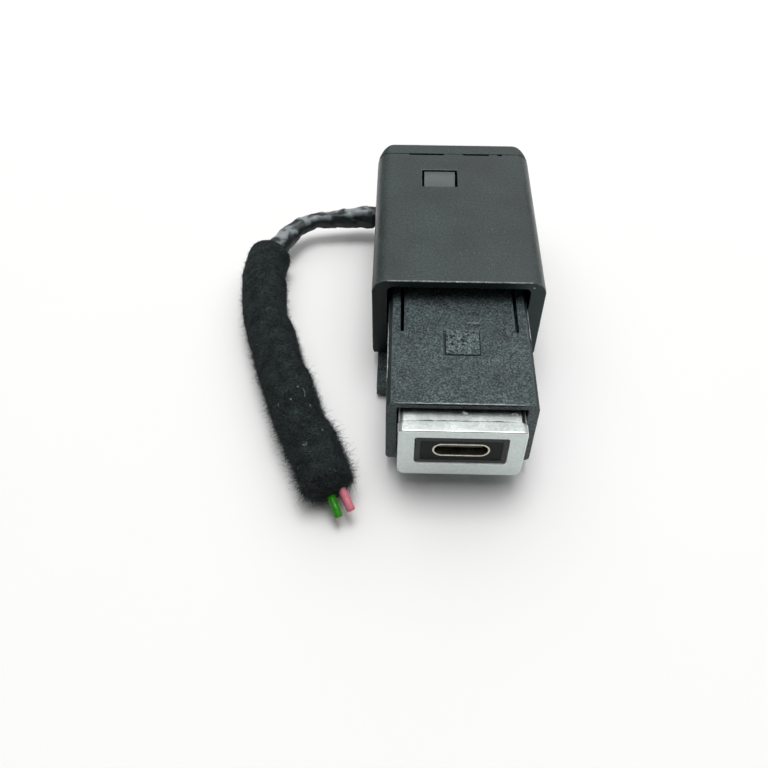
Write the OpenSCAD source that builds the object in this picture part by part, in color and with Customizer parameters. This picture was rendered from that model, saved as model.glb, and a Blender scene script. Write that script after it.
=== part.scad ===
// In-car USB-C charging socket, plugged into the side-exit connector of a cut-off wiring lead.
// It lies on its housing's floor: X to the right, Y from the port face to the back, Z up.
// The origin is on the floor, under the middle of the rigid parts.

/* [USB port] */
// Outside width of the port's steel shell
shell_w = 8.94; // [8:0.02:10]
// Outside height of the port's steel shell
shell_h = 3.16; // [2.8:0.02:3.6]
// Sheet thickness of the shell
shell_t = 0.3; // [0.2:0.02:0.4]
// Length of the shell
shell_l = 7.75; // [7:0.05:9]
// Width of the tongue inside the shell
tongue_w = 6.69; // [5.5:0.01:7]
// Thickness of the tongue, with its shield plate
tongue_t = 0.7; // [0.6:0.02:0.9]
// How far the tongue's tip lies behind the shell's mouth
tongue_set_back = 0.9; // [0.5:0.1:1.5]
// Length of the moulded block that closes the shell's rear
base_l = 2.7; // [2:0.1:3]
// Thickness of the shield plate in the tongue
plate_t = 0.15; // [0.1:0.01:0.2]
// Contacts on each face of the tongue
contact_count = 12; // [6:1:12]
// Distance between contacts
contact_pitch = 0.5; // [0.45:0.01:0.52]
// Width of one contact
contact_w = 0.25; // [0.18:0.01:0.3]
// Thickness of one contact
contact_t = 0.12; // [0.08:0.01:0.16]

/* [Port insert] */
// Insert wall beside the shell
insert_side_t = 2.6; // [2:0.1:3.5]
// Insert wall above and below the shell
insert_rise_t = 1.55; // [1.2:0.05:2.2]
// Width of the insert's raised border
insert_border = 0.7; // [0.5:0.1:1.1]
// Depth of the recess inside that border
insert_recess = 0.2; // [0.1:0.05:0.6]
// How far the border lies behind the bezel's face
insert_set_back = 0.1; // [0.05:0.05:0.8]
// How far the insert's flange reaches out behind the bezel plate
insert_flange_out = 0.6; // [0.3:0.1:1]
// Thickness of that flange
insert_flange_t = 1; // [0.6:0.1:1.6]
// Length of the insert's neck behind the flange
insert_neck_l = 2.4; // [1.5:0.1:3]
// Corner radius of the insert
insert_r = 0.45; // [0.2:0.05:0.8]

/* [Bezel] */
// Width of the bezel's lip beside the insert
bezel_side_lip = 2.7; // [2:0.1:3.5]
// Height of the lip above the insert
bezel_top_lip = 1.8; // [1.5:0.1:3]
// Height of the lip below the insert
bezel_bottom_lip = 3.2; // [2.4:0.1:4.5]
// Thickness of the bezel's front plate
bezel_plate_t = 2; // [1.2:0.1:3]
// How far the bezel stands ahead of the socket body
bezel_proud = 4; // [3:0.1:5]
// How far the bezel's collar is set in from its plate
bezel_step = 0.12; // [0.05:0.01:0.3]
// Radius of the bezel's upper corners
bezel_top_r = 0.85; // [0.4:0.05:1.4]
// Radius of the bezel's lower corners
bezel_low_r = 1.4; // [0.6:0.05:2]

/* [Socket body] */
// Length of the body ahead of the rear housing
body_show = 22.9; // [20:0.1:28]
// Length of the body inside the rear housing
body_in = 17.2; // [16:0.1:22]
// Side wall of the body
body_side_t = 1.7; // [1.4:0.1:3]
// Top wall of the body round the bezel
body_roof_t = 1.1; // [0.9:0.1:2]
// Bottom wall of the body round the bezel
body_floor_t = 1.1; // [0.8:0.1:2]
// Depth of the bay that takes the bezel's collar
bezel_bay_l = 3.5; // [2.5:0.1:5]
// How far the body's inner step stands into the bay, as the collar's stop
stop_t = 0.45; // [0.3:0.05:0.8]
// Radius of the body's lower edges
body_low_r = 0.8; // [0.3:0.1:1.2]
// Width of the ledge along each upper edge
ledge_w = 0.2; // [0.1:0.05:0.8]
// Depth of that ledge
ledge_t = 1.1; // [0.1:0.05:1.5]
// Width of the slope from the top face down to the ledge
ledge_slope = 0.55; // [0.2:0.05:1]
// How far the coding rails stand out of the body's sides
rail_out = 1.9; // [1.2:0.1:2.2]
// How far the coding rails reach up the body's sides
rail_rise = 0.4; // [0.3:0.1:1.4]
// Height of the rails' underside above the floor
rail_lift = 0.5; // [0.2:0.1:1]
// Length of the rails ahead of the rear housing
rail_show = 8.3; // [4:0.1:12]
// Length of the rails inside the rear housing
rail_in = 9.5; // [6:0.1:12]
// Width of the thumb pad's recess
pad_w = 5.9; // [4:0.1:8]
// Length of the thumb pad's recess
pad_l = 5.4; // [4:0.1:6]
// Depth of the thumb pad's recess
pad_t = 0.35; // [0.1:0.05:0.4]
// How far the pad lies to the right of the middle
pad_x = 0.25; // [-2:0.05:2]

/* [Latch] */
// Width of the slots beside the latch panel
latch_slot_w = 0.6; // [0.3:0.05:0.8]
// Length of the latch panel ahead of the rear housing
latch_show = 7.5; // [5:0.1:8]
// Solid end of the body behind the latch panel
latch_end_land = 3; // [2:0.1:4]
// Width of the latch hook
hook_w = 8; // [5:0.5:10]
// Length of the latch hook's ramp
hook_l = 3; // [2:0.1:4]
// Distance from the rear housing's rim to the hook
hook_in = 8; // [6:0.1:9]
// Thickness of the catch rib and the stop ribs
rib_t = 1.2; // [0.8:0.1:1.6]

/* [Rear housing] */
// Length of the rear housing from its rim to the cap's seam
housing_l = 36.4; // [34:0.1:44]
// Side wall of the rear housing
housing_side_t = 2.6; // [2.2:0.1:3.5]
// Roof of the rear housing
housing_roof_t = 1.4; // [1:0.1:2]
// Floor of the rear housing
housing_floor_t = 1.8; // [1.4:0.1:2.4]
// Free height over the socket body, in which the latch works
latch_gap = 2.4; // [2:0.1:3]
// Radius of the housing's upper long edges
housing_top_r = 2.6; // [1:0.1:3]
// Radius of the housing's lower long edges
housing_low_r = 4; // [3:0.1:5]
// Radius of the housing's upright edges at the back, seen from above
housing_plan_r = 5; // [2:0.1:5]
// Radius of the back's upper and lower edges
housing_back_r = 0.9; // [0.4:0.1:1.4]
// Radius of the rim's outer edge
rim_r = 0.2; // [0.2:0.05:0.6]
// Radius of the bay's inner edges
bay_r = 1; // [0.5:0.1:1.4]

/* [Rear cap] */
// Thickness of the cap behind the seam
cap_l = 3.5; // [2.2:0.1:4.5]
// Wall of the cap's back
cap_back_t = 1.4; // [1:0.1:2]
// Wall of the cap's spigot
spigot_t = 1.2; // [0.8:0.1:1.6]
// Gap of the seam between housing and cap
seam_gap = 0.1; // [0.05:0.01:0.2]
// Width of the pry notches in the seam
notch_l = 0.35; // [0.2:0.05:0.6]

/* [Harness plug] */
// Room behind the plug in which the wires turn to the exit
wire_room = 3.9; // [3.6:0.1:5]
// Depth to which plug and socket mate
mate_depth = 9.3; // [8:0.1:10]
// Width of the plug's snap nub
nub_w = 5.8; // [4:0.1:7]
// Length of the snap nub
nub_l = 4.7; // [3:0.1:5]
// Length of the nub's flat crest
nub_crest_l = 1.4; // [0.6:0.1:2]
// Distance from the nub to the plug's rear
nub_land = 1.8; // [1.6:0.1:3]
// How far the nub lies to the left of the middle
nub_left = 2.8; // [0:0.1:4]
// Thickness of the nub's spring arm
arm_t = 1.6; // [1.2:0.1:2.2]
// Distance between the two contact positions
pin_pitch = 3; // [2.8:0.1:4]
// Side of the square pins
pin_t = 0.64; // [0.5:0.02:0.7]
// How far the pins stand out of the header
pin_reach = 6.2; // [5:0.1:7]
// Length of a pin on the board
pin_foot_l = 3.4; // [2:0.1:4]
// Outside of a terminal's box
terminal_t = 1.7; // [1.5:0.05:1.9]
// Length of a terminal's box
terminal_box_l = 8; // [7:0.1:9]
// Thickness of the header block
header_t = 3.2; // [2:0.1:4]

/* [Electronics] */
// Thickness of the circuit board
board_t = 1.2; // [0.8:0.1:1.6]
// How far the board sits in the grooves of the body's sides
groove_t = 0.5; // [0.3:0.05:0.8]
// Side of the converter chip
converter_w = 5; // [4:0.1:6]
// Height of the converter chip
converter_h = 0.9; // [0.6:0.1:1.4]
// Side of the port controller chip
controller_w = 3; // [2:0.1:3.6]
// Height of the port controller chip
controller_h = 0.8; // [0.6:0.1:1.2]
// Side of the power inductor
inductor_w = 6.4; // [5:0.1:7]
// Height of the power inductor
inductor_h = 3.2; // [2.4:0.1:4.4]
// Width across one corner cut of the inductor
inductor_cut = 1.4; // [0.8:0.1:2]
// Diameter of the bulk capacitors
bulk_d = 5; // [4:0.1:5.4]
// Height of the bulk capacitors
bulk_h = 5.4; // [4:0.1:5.6]
// Width of a ceramic capacitor
ceramic_w = 1.6; // [1.2:0.1:1.8]
// Length of a ceramic capacitor
ceramic_l = 3.2; // [2.4:0.1:3.4]
// Height of a ceramic capacitor
ceramic_h = 1.4; // [1:0.1:2]
// Length of a chip resistor
resistor_l = 1.6; // [1.2:0.1:2]
// Width of a chip resistor
resistor_w = 0.8; // [0.5:0.05:1]
// Height of a chip resistor
resistor_h = 0.45; // [0.3:0.05:0.6]

/* [Lead] */
// Diameter of the taped lead
lead_d = 3; // [2.6:0.1:3.2]
// Diameter of the fleece sleeve
fleece_d = 8.2; // [7:0.1:8.3]
// Diameter of one wire
wire_d = 1.4; // [1.2:0.05:1.5]
// Height of the lead's exit above the floor
exit_z = 5.3; // [5.2:0.05:5.4]
// How far the sleeve reaches out to the left of the housing, at its middle
lead_out = 21.8; // [20:0.1:26]
// How far the sleeve's end lies ahead of the exit
lead_forward = 68.3; // [60:0.1:75]

/* [Fits] */
// Gap round the shell in the insert
shell_gap = 0.05; // [0.02:0.01:0.1]
// Gap round the insert in the bezel
insert_gap = 0.05; // [0.02:0.01:0.1]
// Gap beside the bezel's plate in the body
bezel_gap = 0.2; // [0.1:0.05:0.4]
// Gap over the bezel's plate in the body
bezel_top_gap = 0.5; // [0.2:0.05:0.8]
// Gap beside the body in the rear housing
bay_gap = 0.3; // [0.15:0.05:0.5]
// Gap under the body in the rear housing
floor_gap = 0.2; // [0.1:0.05:0.4]
// Gap round inner pieces that slide into place
slide_gap = 0.15; // [0.05:0.01:0.25]
// Gap round the snap nub in its window
window_gap = 0.4; // [0.25:0.05:0.6]
// Gap round the lead in its exit
exit_gap = 0.2; // [0.1:0.05:0.4]

/* [Hidden] */
$fn = 64;

// Overshoot of cuts past the faces they open
eps = 0.5;

// Widths and heights, built outwards from the port
insert_w = shell_w + 2 * (shell_gap + insert_side_t);
insert_h = shell_h + 2 * (shell_gap + insert_rise_t);
bezel_w = insert_w + 2 * (insert_gap + bezel_side_lip);
bezel_h = insert_h + 2 * insert_gap + bezel_top_lip + bezel_bottom_lip;
bezel_bay_w = bezel_w + 2 * bezel_gap;
bezel_bay_h = bezel_h + bezel_gap + bezel_top_gap;
body_w = bezel_bay_w + 2 * body_side_t;
body_h = bezel_bay_h + body_floor_t + body_roof_t;
bay_w = body_w + 2 * bay_gap;
housing_w = bay_w + 2 * housing_side_t;

// Heights above the floor
z_body = housing_floor_t + floor_gap;
z_bezel = z_body + body_floor_t + bezel_gap;
z_port = z_bezel + bezel_bottom_lip + insert_gap + insert_h / 2;
z_body_top = z_body + body_h;
z_roof = z_body_top + latch_gap;
housing_h = z_roof + housing_roof_t;

// The body's inner cavity, behind the bay of the bezel
cavity_w = bezel_bay_w - 2 * stop_t;
z_cavity = z_body + body_floor_t + stop_t;
z_cavity_top = z_body_top - body_roof_t - stop_t;

// Inner face and top of the coding rail at the right-hand side
x_rail = (body_w - body_side_t) / 2;
z_rail_top = z_body + rail_rise;

// The shell's mouth stands a little ahead of the insert's recessed face
shell_proud = 0.1;
// Gap between the socket body's end and the plug's base
body_plug_gap = 0.5;
// Gap between the header and the plug's nose
nose_gap = 0.3;
// Wall at the tip of the plug's nose, with the pins' holes
nose_tip_t = 0.8;
// Length of a terminal's crimp barrel, and of the solid ends of box and barrel
crimp_l = 5;
terminal_end_t = 1;
// Free board between two components
component_gap = 0.6;
// Thickness of a bulk capacitor's base, and how far its can is set in from it
bulk_base_t = 0.6;
bulk_set_in = 0.2;
// The shell's legs: length, distance to the shell's rear, reach below the board, gap in the board
leg_l = 1.4;
leg_in = 0.3;
leg_reach = 0.4;
leg_gap = 0.1;
// Contacts: distance of their tips from the tongue's tip, and their bends and feet behind the shell
contact_tip = 0.4;
upper_bend = 1.3;
lower_bend = 0.3;
contact_foot = 0.7;
// The shield plate lies this far behind the tongue's tip
plate_tip = 0.2;
// Gap between the receptacle's base and its shell
base_gap = 0.02;
// The plug's stop ribs lie this far beside the latch hook
stop_apart = 2;
// Length of the latch hook's crest
hook_crest = 0.6;
// The snap arm: gap at its sides, free height under it, and the plug's solid front that it springs from
arm_gap = 0.5;
arm_relief = 1.5;
arm_root_l = 3.7;
// The nub's crest lies this far under the housing's top face
nub_under = 0.1;
// Pry notches in the seam, left and right end of each
notch_spans = [[-8.5, -1.9], [1.9, 6.9], [8.6, 9.4]];
// How deep the inner wires sit in the crimp barrels
wire_in = 3.8;
// The lock bar's place behind the base's front face, and its thickness
lock_in = 5.6;
lock_t = 1.5;
// The lock bar's reach past the two terminals, at each side
lock_reach = 1;
lock_w = pin_pitch + 2 * (terminal_t + lock_reach);
// The lead's exit is split by the seam, and its axis lies a little ahead of it
exit_ahead = 0.1;
x_exit = -housing_w / 2;
exit_d = lead_d + 2 * exit_gap;

// Places along the object, from the bezel's face to the cap's back
total_l = bezel_proud + body_show + housing_l + cap_l;
y_face = -total_l / 2;
y_body = y_face + bezel_proud;
y_stop = y_body + bezel_bay_l;
y_rim = y_body + body_show;
y_body_end = y_rim + body_in;
y_seam = y_rim + housing_l;
y_back = y_seam + cap_l;
y_plate = y_face + bezel_plate_t;
y_insert = y_face + insert_set_back;
y_insert_end = y_plate + insert_flange_t + insert_neck_l;
y_shell = y_insert + insert_recess - shell_proud;
y_shell_end = y_shell + shell_l;
y_base = y_shell_end - base_l;
y_tongue = y_shell + tongue_set_back;
y_header_end = y_body_end - mate_depth;
y_header = y_header_end - header_t;
y_board = y_insert_end + slide_gap;
y_plug = y_body_end + body_plug_gap;
y_plug_end = y_seam - wire_room;
y_nose = y_header_end + nose_gap;
y_nub_end = y_plug_end - nub_land;
y_nub = y_nub_end - nub_l;
y_hook = y_rim + hook_in;
y_latch = y_rim - latch_show;
y_latch_end = y_body_end - latch_end_land;
y_terminal = y_nose + nose_tip_t;
y_terminal_end = y_terminal + terminal_box_l;
y_crimp_end = y_terminal_end + crimp_l;
y_lock = y_plug + lock_in;
y_exit = y_seam - exit_ahead;

// Board and pins
z_board_top = z_port - shell_h / 2;
z_board = z_board_top - board_t;
board_w = cavity_w + 2 * (groove_t - slide_gap);
// The board's nose reaches into the bezel's collar, under the receptacle
collar_in_w = insert_w + 2 * (insert_flange_out + slide_gap);
collar_in_h = insert_h + 2 * (insert_flange_out + slide_gap);
board_nose_w = collar_in_w - 2 * slide_gap;
// Middle of the board's free length, behind the receptacle
y_board_mid = (y_shell_end + y_header) / 2;
// Middles of the components to the left and right of the board's middle line
converter_x = 4.9;
controller_x = 6.6;
inductor_x = -4.6;
resistor_x = 0.5;
bulk_x = pin_pitch / 2 + pin_t / 2 + bulk_d / 2 + component_gap;
ceramic_x = -5.4;
ceramic_pitch = ceramic_w + component_gap;
resistor_pitch = resistor_w + component_gap;
z_pin = z_board_top + pin_t / 2;
passage_t = terminal_t + 2 * slide_gap;

// Bounds of the plug's base and nose
plug_w = bay_w - 2 * bay_gap;
z_plug = housing_floor_t + floor_gap;
z_plug_top = z_roof - bay_gap;
nose_w = cavity_w - 2 * slide_gap;

// Snap nub: its middle, and the crest just under the housing's top face
nub_x = -nub_left;
z_nub = housing_h - nub_under;

// The sleeve lies on the floor, with a little fuzz under it
fuzz_t = 0.1;
z_fleece = fleece_d / 2 + fuzz_t;
// What is left of the exit's height above the sleeve's middle, which the lead loses on its way
z_drop = exit_z - z_fleece;

// Routes of the lead and its wires: points chosen by hand along the middle of the run, each in percent
// of the reach to the left and of the reach forward, counted from the exit
function from_exit(out, forward, z) =
    [x_exit - out * lead_out / 100, y_exit - forward * lead_forward / 100, z];
lead_turns = [[13.6, 0.1, 90], [29.5, 0.6, 60], [45.4, 1.2, 35], [59.5, 1.9, 20], [72.2, 4, 10],
    [82.4, 7.6, 0], [89.6, 12, 0]];
fleece_turns = [[89.6, 12], [96.8, 16.4], [100, 25], [97.8, 34], [92.8, 42.3], [86, 50], [78, 57.5],
    [69.8, 64.8], [55.4, 77], [44.4, 84.8], [34.4, 91.5], [23.6, 100]];
lead_start = [x_exit + housing_side_t * 2 / 3, y_exit, exit_z];
lead_route = concat([lead_start, [x_exit, y_exit, exit_z]],
    [for (p = lead_turns) from_exit(p[0], p[1], z_fleece + z_drop * p[2] / 100)]);
fleece_route = [for (p = fleece_turns) from_exit(p[0], p[1], z_fleece)];
// The cut wires leave the sleeve's end under its middle: steps in percent of the sleeve's diameter
sleeve_end = fleece_route[len(fleece_route) - 1];
green_tail_steps = [[0, -1.5, -16], [6, -15, -17], [13, -31, -23]];
pink_tail_steps = [[23, 8, -11], [29, -6, -12], [37, -20, -17]];
green_tail_route = [for (p = green_tail_steps) sleeve_end + p * fleece_d / 100];
pink_tail_route = [for (p = pink_tail_steps) sleeve_end + p * fleece_d / 100];
// Inside, the two wires run side by side into the lead, one over the other
x_wire = pin_pitch / 2;
y_wire = y_crimp_end - wire_in;
wire_rise = wire_d * 0.54;
wire_end = lead_start + [0.1, 0, 0];
inner_green_route = [[-x_wire, y_wire, z_pin], [-x_wire, y_plug_end + wire_d * 0.15, z_pin],
    [-x_wire - wire_d * 0.35, y_exit - wire_d * 1.35, z_pin - wire_d * 0.15],
    [-x_wire - wire_d * 1.5, y_exit - wire_d * 0.45, z_pin - wire_d * 0.55],
    [x_exit + housing_w * 0.28, y_exit - wire_d * 0.1, exit_z + wire_d * 1.1],
    [x_exit + housing_w * 0.155, y_exit, exit_z + wire_rise], wire_end + [0, 0, wire_rise]];
inner_pink_route = [[x_wire, y_wire, z_pin], [x_wire, y_plug_end + wire_d * 0.3, z_pin],
    [x_wire - wire_d * 0.4, y_exit - wire_d * 1.15, z_pin - wire_d * 0.45],
    [x_wire - wire_d * 1.65, y_exit - wire_d * 0.3, z_pin - wire_d * 1.15],
    [x_exit + housing_w * 0.36, y_exit, exit_z + wire_d * 0.15],
    [x_exit + housing_w * 0.21, y_exit, exit_z - wire_rise * 0.9], wire_end - [0, 0, wire_rise]];

// Extrude a front-view outline (X, Z) from y0 to y1
module along_y(y0, y1) {
    translate([0, y1, 0]) rotate([90, 0, 0]) linear_extrude(y1 - y0) children();
}

// Extrude a side-view outline (Y, Z) from x0 to x1
module along_x(x0, x1) {
    translate([x0, 0, 0]) rotate([90, 0, 90]) linear_extrude(x1 - x0) children();
}

// Box given by its lowest and highest corner
module block(low, high) {
    translate(low) cube(high - low);
}

// Rectangle with round corners: one radius for the two low ones and one for the two high ones
module round_rect(x0, x1, y0, y1, r_low, r_high) {
    polygon([[x0 + r_low, y0], [x1 - r_low, y0], [x1, y0 + r_low], [x1, y1 - r_high],
        [x1 - r_high, y1], [x0 + r_high, y1], [x0, y1 - r_high], [x0, y0 + r_low]]);
    for (x = [x0 + r_low, x1 - r_low]) translate([x, y0 + r_low]) circle(r_low);
    for (x = [x0 + r_high, x1 - r_high]) translate([x, y1 - r_high]) circle(r_high);
}

// Round rectangle in front view, centred on the port
module port_rect(w, h, r) {
    round_rect(-w / 2, w / 2, z_port - h / 2, z_port + h / 2, r, r);
}

// Slot with two round ends in front view, centred on the port
module port_stadium(w, h) {
    translate([0, z_port]) {
        square([w - h, h], center = true);
        for (s = [-1, 1]) translate([s * (w - h) / 2, 0]) circle(h / 2);
    }
}

function unit(v) = v / norm(v);
// Direction of a route at point i, from its neighbours
function heading(p, i) = unit(p[min(i + 1, len(p) - 1)] - p[max(i - 1, 0)]);
function ring(p, i, r, sides) = let (t = heading(p, i), u = unit(cross(t, [0, 0, 1])), v = cross(u, t))
    [for (k = [0:sides - 1]) p[i] + r * (cos(360 * k / sides) * u + sin(360 * k / sides) * v)];

// Plain tube along a route
module tube(route, d, sides = 8) {
    n = len(route);
    points = [for (i = [0:n - 1]) each ring(route, i, d / 2, sides)];
    walls = [for (i = [0:n - 2], k = [0:sides - 1]) let (a = i * sides, b = a + sides, m = (k + 1) % sides)
        [a + k, a + m, b + m, b + k]];
    start_cap = [for (k = [0:sides - 1]) sides - 1 - k];
    end_cap = [for (k = [0:sides - 1]) (n - 1) * sides + k];
    polyhedron(points, concat([start_cap], walls, [end_cap]));
}

// The lead's exit, shared by housing and cap
module exit_bore() {
    translate([-housing_w / 2 - eps, y_exit, exit_z]) rotate([0, 90, 0])
        cylinder(d = exit_d, h = housing_side_t + bay_gap + spigot_t + 2 * eps);
}

// Front view of the socket body: round lower edges, and a ledge under a slope along each upper edge
module body_outline() {
    z_mid = z_body + body_h / 2;
    z_ledge = z_body_top - ledge_t;
    x_ledge = body_w / 2 - ledge_w;
    x_top = x_ledge - ledge_slope;
    round_rect(-body_w / 2, body_w / 2, z_body, z_ledge, body_low_r, ledge_w / 2);
    polygon([[-x_ledge, z_mid], [x_ledge, z_mid], [x_ledge, z_ledge], [x_top, z_body_top],
        [-x_top, z_body_top], [-x_ledge, z_ledge]]);
}

// Hook on the latch panel: an upright face ahead of a ramp
module latch_hook() {
    z_foot = z_body_top - stop_t;
    z_hook = z_body_top + latch_gap - bay_gap;
    along_x(-hook_w / 2, hook_w / 2)
        polygon([[y_hook, z_foot], [y_hook, z_hook], [y_hook + hook_crest, z_hook],
            [y_hook + hook_l, z_body_top], [y_hook + hook_l, z_foot]]);
}

// Slots that free the latch panel at both sides and at its rear end
module latch_slots() {
    slot_x = cavity_w / 2 - latch_slot_w / 3;
    z_low = z_cavity_top - stop_t;
    for (s = [-1, 1]) {
        translate([s * slot_x, y_latch, z_low]) cylinder(d = latch_slot_w, h = housing_h);
        block([s * slot_x - latch_slot_w / 2, y_latch, z_low],
            [s * slot_x + latch_slot_w / 2, y_latch_end + latch_slot_w, housing_h]);
    }
    block([-slot_x, y_latch_end, z_low], [slot_x, y_latch_end + latch_slot_w, housing_h]);
}

module socket_body() {
    color("#3b4146") difference() {
        union() {
            along_y(y_body, y_body_end) body_outline();
            for (s = [0, 1]) mirror([s, 0, 0])
                block([x_rail, y_rim - rail_show, rail_lift],
                    [body_w / 2 + rail_out, y_rim + rail_in, z_rail_top]);
            latch_hook();
        }
        block([-bezel_bay_w / 2, y_body - eps, z_body + body_floor_t],
            [bezel_bay_w / 2, y_stop, z_body_top - body_roof_t]);
        block([-cavity_w / 2, y_body, z_cavity], [cavity_w / 2, y_body_end + eps, z_cavity_top]);
        block([-cavity_w / 2 - groove_t, y_stop, z_board - slide_gap],
            [cavity_w / 2 + groove_t, y_body_end + eps, z_board_top + slide_gap]);
        latch_slots();
        block([pad_x - pad_w / 2, y_latch - pad_l, z_body_top - pad_t],
            [pad_x + pad_w / 2, y_latch, housing_h]);
    }
}

module bezel() {
    collar_w = bezel_w - 2 * bezel_step;
    color("#c9cdcc") difference() {
        union() {
            along_y(y_face, y_plate)
                round_rect(-bezel_w / 2, bezel_w / 2, z_bezel, z_bezel + bezel_h, bezel_low_r, bezel_top_r);
            along_y(y_plate - bezel_step, y_stop)
                round_rect(-collar_w / 2, collar_w / 2, z_bezel + bezel_step,
                    z_bezel + bezel_h - bezel_step, bezel_low_r, bezel_top_r);
        }
        along_y(y_face - eps, y_plate + eps)
            port_rect(insert_w + 2 * insert_gap, insert_h + 2 * insert_gap, insert_r);
        along_y(y_plate, y_stop + eps) port_rect(collar_in_w, collar_in_h, insert_r);
    }
}

module port_insert() {
    flange_w = insert_w + 2 * insert_flange_out;
    flange_h = insert_h + 2 * insert_flange_out;
    color("#2c2d2c") difference() {
        union() {
            along_y(y_insert, y_insert_end) port_rect(insert_w, insert_h, insert_r);
            along_y(y_plate, y_plate + insert_flange_t) port_rect(flange_w, flange_h, insert_r);
        }
        along_y(y_insert - eps, y_insert + insert_recess)
            port_rect(insert_w - 2 * insert_border, insert_h - 2 * insert_border, insert_r);
        along_y(y_insert - eps, y_insert_end + eps)
            port_stadium(shell_w + 2 * shell_gap, shell_h + 2 * shell_gap);
    }
}

// Places of the shell's two legs, which pass through the board
module shell_legs(grow) {
    y_leg = y_shell_end - leg_in - leg_l;
    for (s = [-1, 1])
        block([s * (shell_w / 2 - shell_t / 2) - shell_t / 2 - grow, y_leg - grow, z_board - leg_reach],
            [s * (shell_w / 2 - shell_t / 2) + shell_t / 2 + grow, y_leg + leg_l + grow, z_port]);
}

module receptacle_shell() {
    color("#d5cdbd") difference() {
        union() {
            along_y(y_shell, y_shell_end) port_stadium(shell_w, shell_h);
            shell_legs(0);
        }
        along_y(y_shell - eps, y_shell_end + eps)
            port_stadium(shell_w - 2 * shell_t, shell_h - 2 * shell_t);
    }
}

// Middle of contact k, counted from the left
function contact_x(k) = (k - (contact_count - 1) / 2) * contact_pitch;

// One row of contacts: strips on the tongue, down behind the base and out along the board
module contact_row(side, bend) {
    y_bend = y_shell_end + bend;
    y_foot = y_bend + contact_foot;
    z_mid = z_port + side * (tongue_t + contact_t) / 2;
    for (k = [0:contact_count - 1]) translate([contact_x(k) - contact_w / 2, 0, 0]) {
        block([0, y_tongue + contact_tip, z_mid - contact_t / 2],
            [contact_w, y_bend, z_mid + contact_t / 2]);
        block([0, y_bend - contact_t, z_board_top], [contact_w, y_bend, z_mid + contact_t / 2]);
        block([0, y_bend - contact_t, z_board_top], [contact_w, y_foot, z_board_top + contact_t]);
    }
}

module upper_contacts() {
    color("#d9b65a") contact_row(1, upper_bend);
}

module lower_contacts() {
    color("#d9b65a") contact_row(-1, lower_bend);
}

module receptacle_base() {
    color("#1b1b1c") difference() {
        union() {
            along_y(y_base, y_shell_end)
                port_stadium(shell_w - 2 * (shell_t + base_gap), shell_h - 2 * (shell_t + base_gap));
            block([-tongue_w / 2, y_tongue, z_port - tongue_t / 2],
                [tongue_w / 2, y_base + eps, z_port + tongue_t / 2]);
        }
        block([-tongue_w / 2, y_tongue + plate_tip, z_port - plate_t / 2],
            [tongue_w / 2, y_base + base_l / 2, z_port + plate_t / 2]);
        for (side = [-1, 1], k = [0:contact_count - 1])
            translate([contact_x(k), 0, z_port + side * (tongue_t + contact_t) / 2])
                block([-contact_w / 2, y_base - eps, -contact_t / 2],
                    [contact_w / 2, y_shell_end + eps, contact_t / 2]);
    }
}

module shield_plate() {
    color("#b9b9b4")
        block([-tongue_w / 2, y_tongue + plate_tip, z_port - plate_t / 2],
            [tongue_w / 2, y_base + base_l / 2, z_port + plate_t / 2]);
}

module circuit_board() {
    color("#1f5c3a") difference() {
        union() {
            block([-board_w / 2, y_stop + slide_gap, z_board], [board_w / 2, y_header, z_board_top]);
            block([-board_nose_w / 2, y_board, z_board], [board_nose_w / 2, y_header, z_board_top]);
        }
        shell_legs(leg_gap);
    }
}

// Box standing on the board, given by its middle and size
module component(x, y, w, l, h) {
    translate([x - w / 2, y - l / 2, z_board_top]) cube([w, l, h]);
}

module converter_chip() {
    color("#222325") component(converter_x, y_board_mid, converter_w, converter_w, converter_h);
}

module port_controller() {
    y_mid = y_shell_end + controller_w / 2 + component_gap;
    color("#222325") component(controller_x, y_mid, controller_w, controller_w, controller_h);
}

module power_inductor() {
    color("#4a4a48") difference() {
        component(inductor_x, y_board_mid, inductor_w, inductor_w, inductor_h);
        for (x = [-1, 1], y = [-1, 1])
            translate([inductor_x + x * inductor_w / 2, y_board_mid + y * inductor_w / 2, z_board_top])
                rotate([0, 0, 45]) cube([inductor_cut, inductor_cut, 3 * inductor_h], center = true);
    }
}

module bulk_capacitors() {
    y_mid = y_header - bulk_d / 2 - component_gap;
    color("#b8bcc0")
        for (s = [-1, 1]) {
            component(s * bulk_x, y_mid, bulk_d, bulk_d, bulk_base_t);
            translate([s * bulk_x, y_mid, z_board_top]) cylinder(d = bulk_d - 2 * bulk_set_in, h = bulk_h);
        }
}

module ceramic_capacitors() {
    y_mid = y_shell_end + upper_bend + contact_foot + component_gap + ceramic_l / 2;
    color("#b9996a")
        for (k = [-1:1]) component(ceramic_x + k * ceramic_pitch, y_mid, ceramic_w, ceramic_l, ceramic_h);
}

module chip_resistors() {
    color("#2b2b2b")
        for (k = [-1:1])
            component(resistor_x, y_board_mid + k * resistor_pitch, resistor_l, resistor_w, resistor_h);
}

module header_block() {
    color("#27292b") difference() {
        block([-nose_w / 2, y_header, z_cavity + slide_gap],
            [nose_w / 2, y_header_end, z_cavity_top - slide_gap]);
        header_pins();
    }
}

module header_pins() {
    color("#cfc9b6")
        for (s = [-1, 1]) translate([s * pin_pitch / 2 - pin_t / 2, 0, z_board_top])
            block([0, y_header - pin_foot_l, 0], [pin_t, y_header_end + pin_reach, pin_t]);
}

// Outer form of housing and cap together: front, side and plan outlines intersected
module housing_form() {
    intersection() {
        along_y(y_rim, y_back)
            round_rect(-housing_w / 2, housing_w / 2, 0, housing_h, housing_low_r, housing_top_r);
        linear_extrude(housing_h)
            round_rect(-housing_w / 2, housing_w / 2, y_rim, y_back, rim_r, housing_plan_r);
        along_x(-housing_w / 2, housing_w / 2) rotate(-90)
            round_rect(-housing_h, 0, y_rim, y_back, rim_r, housing_back_r);
    }
}

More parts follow.
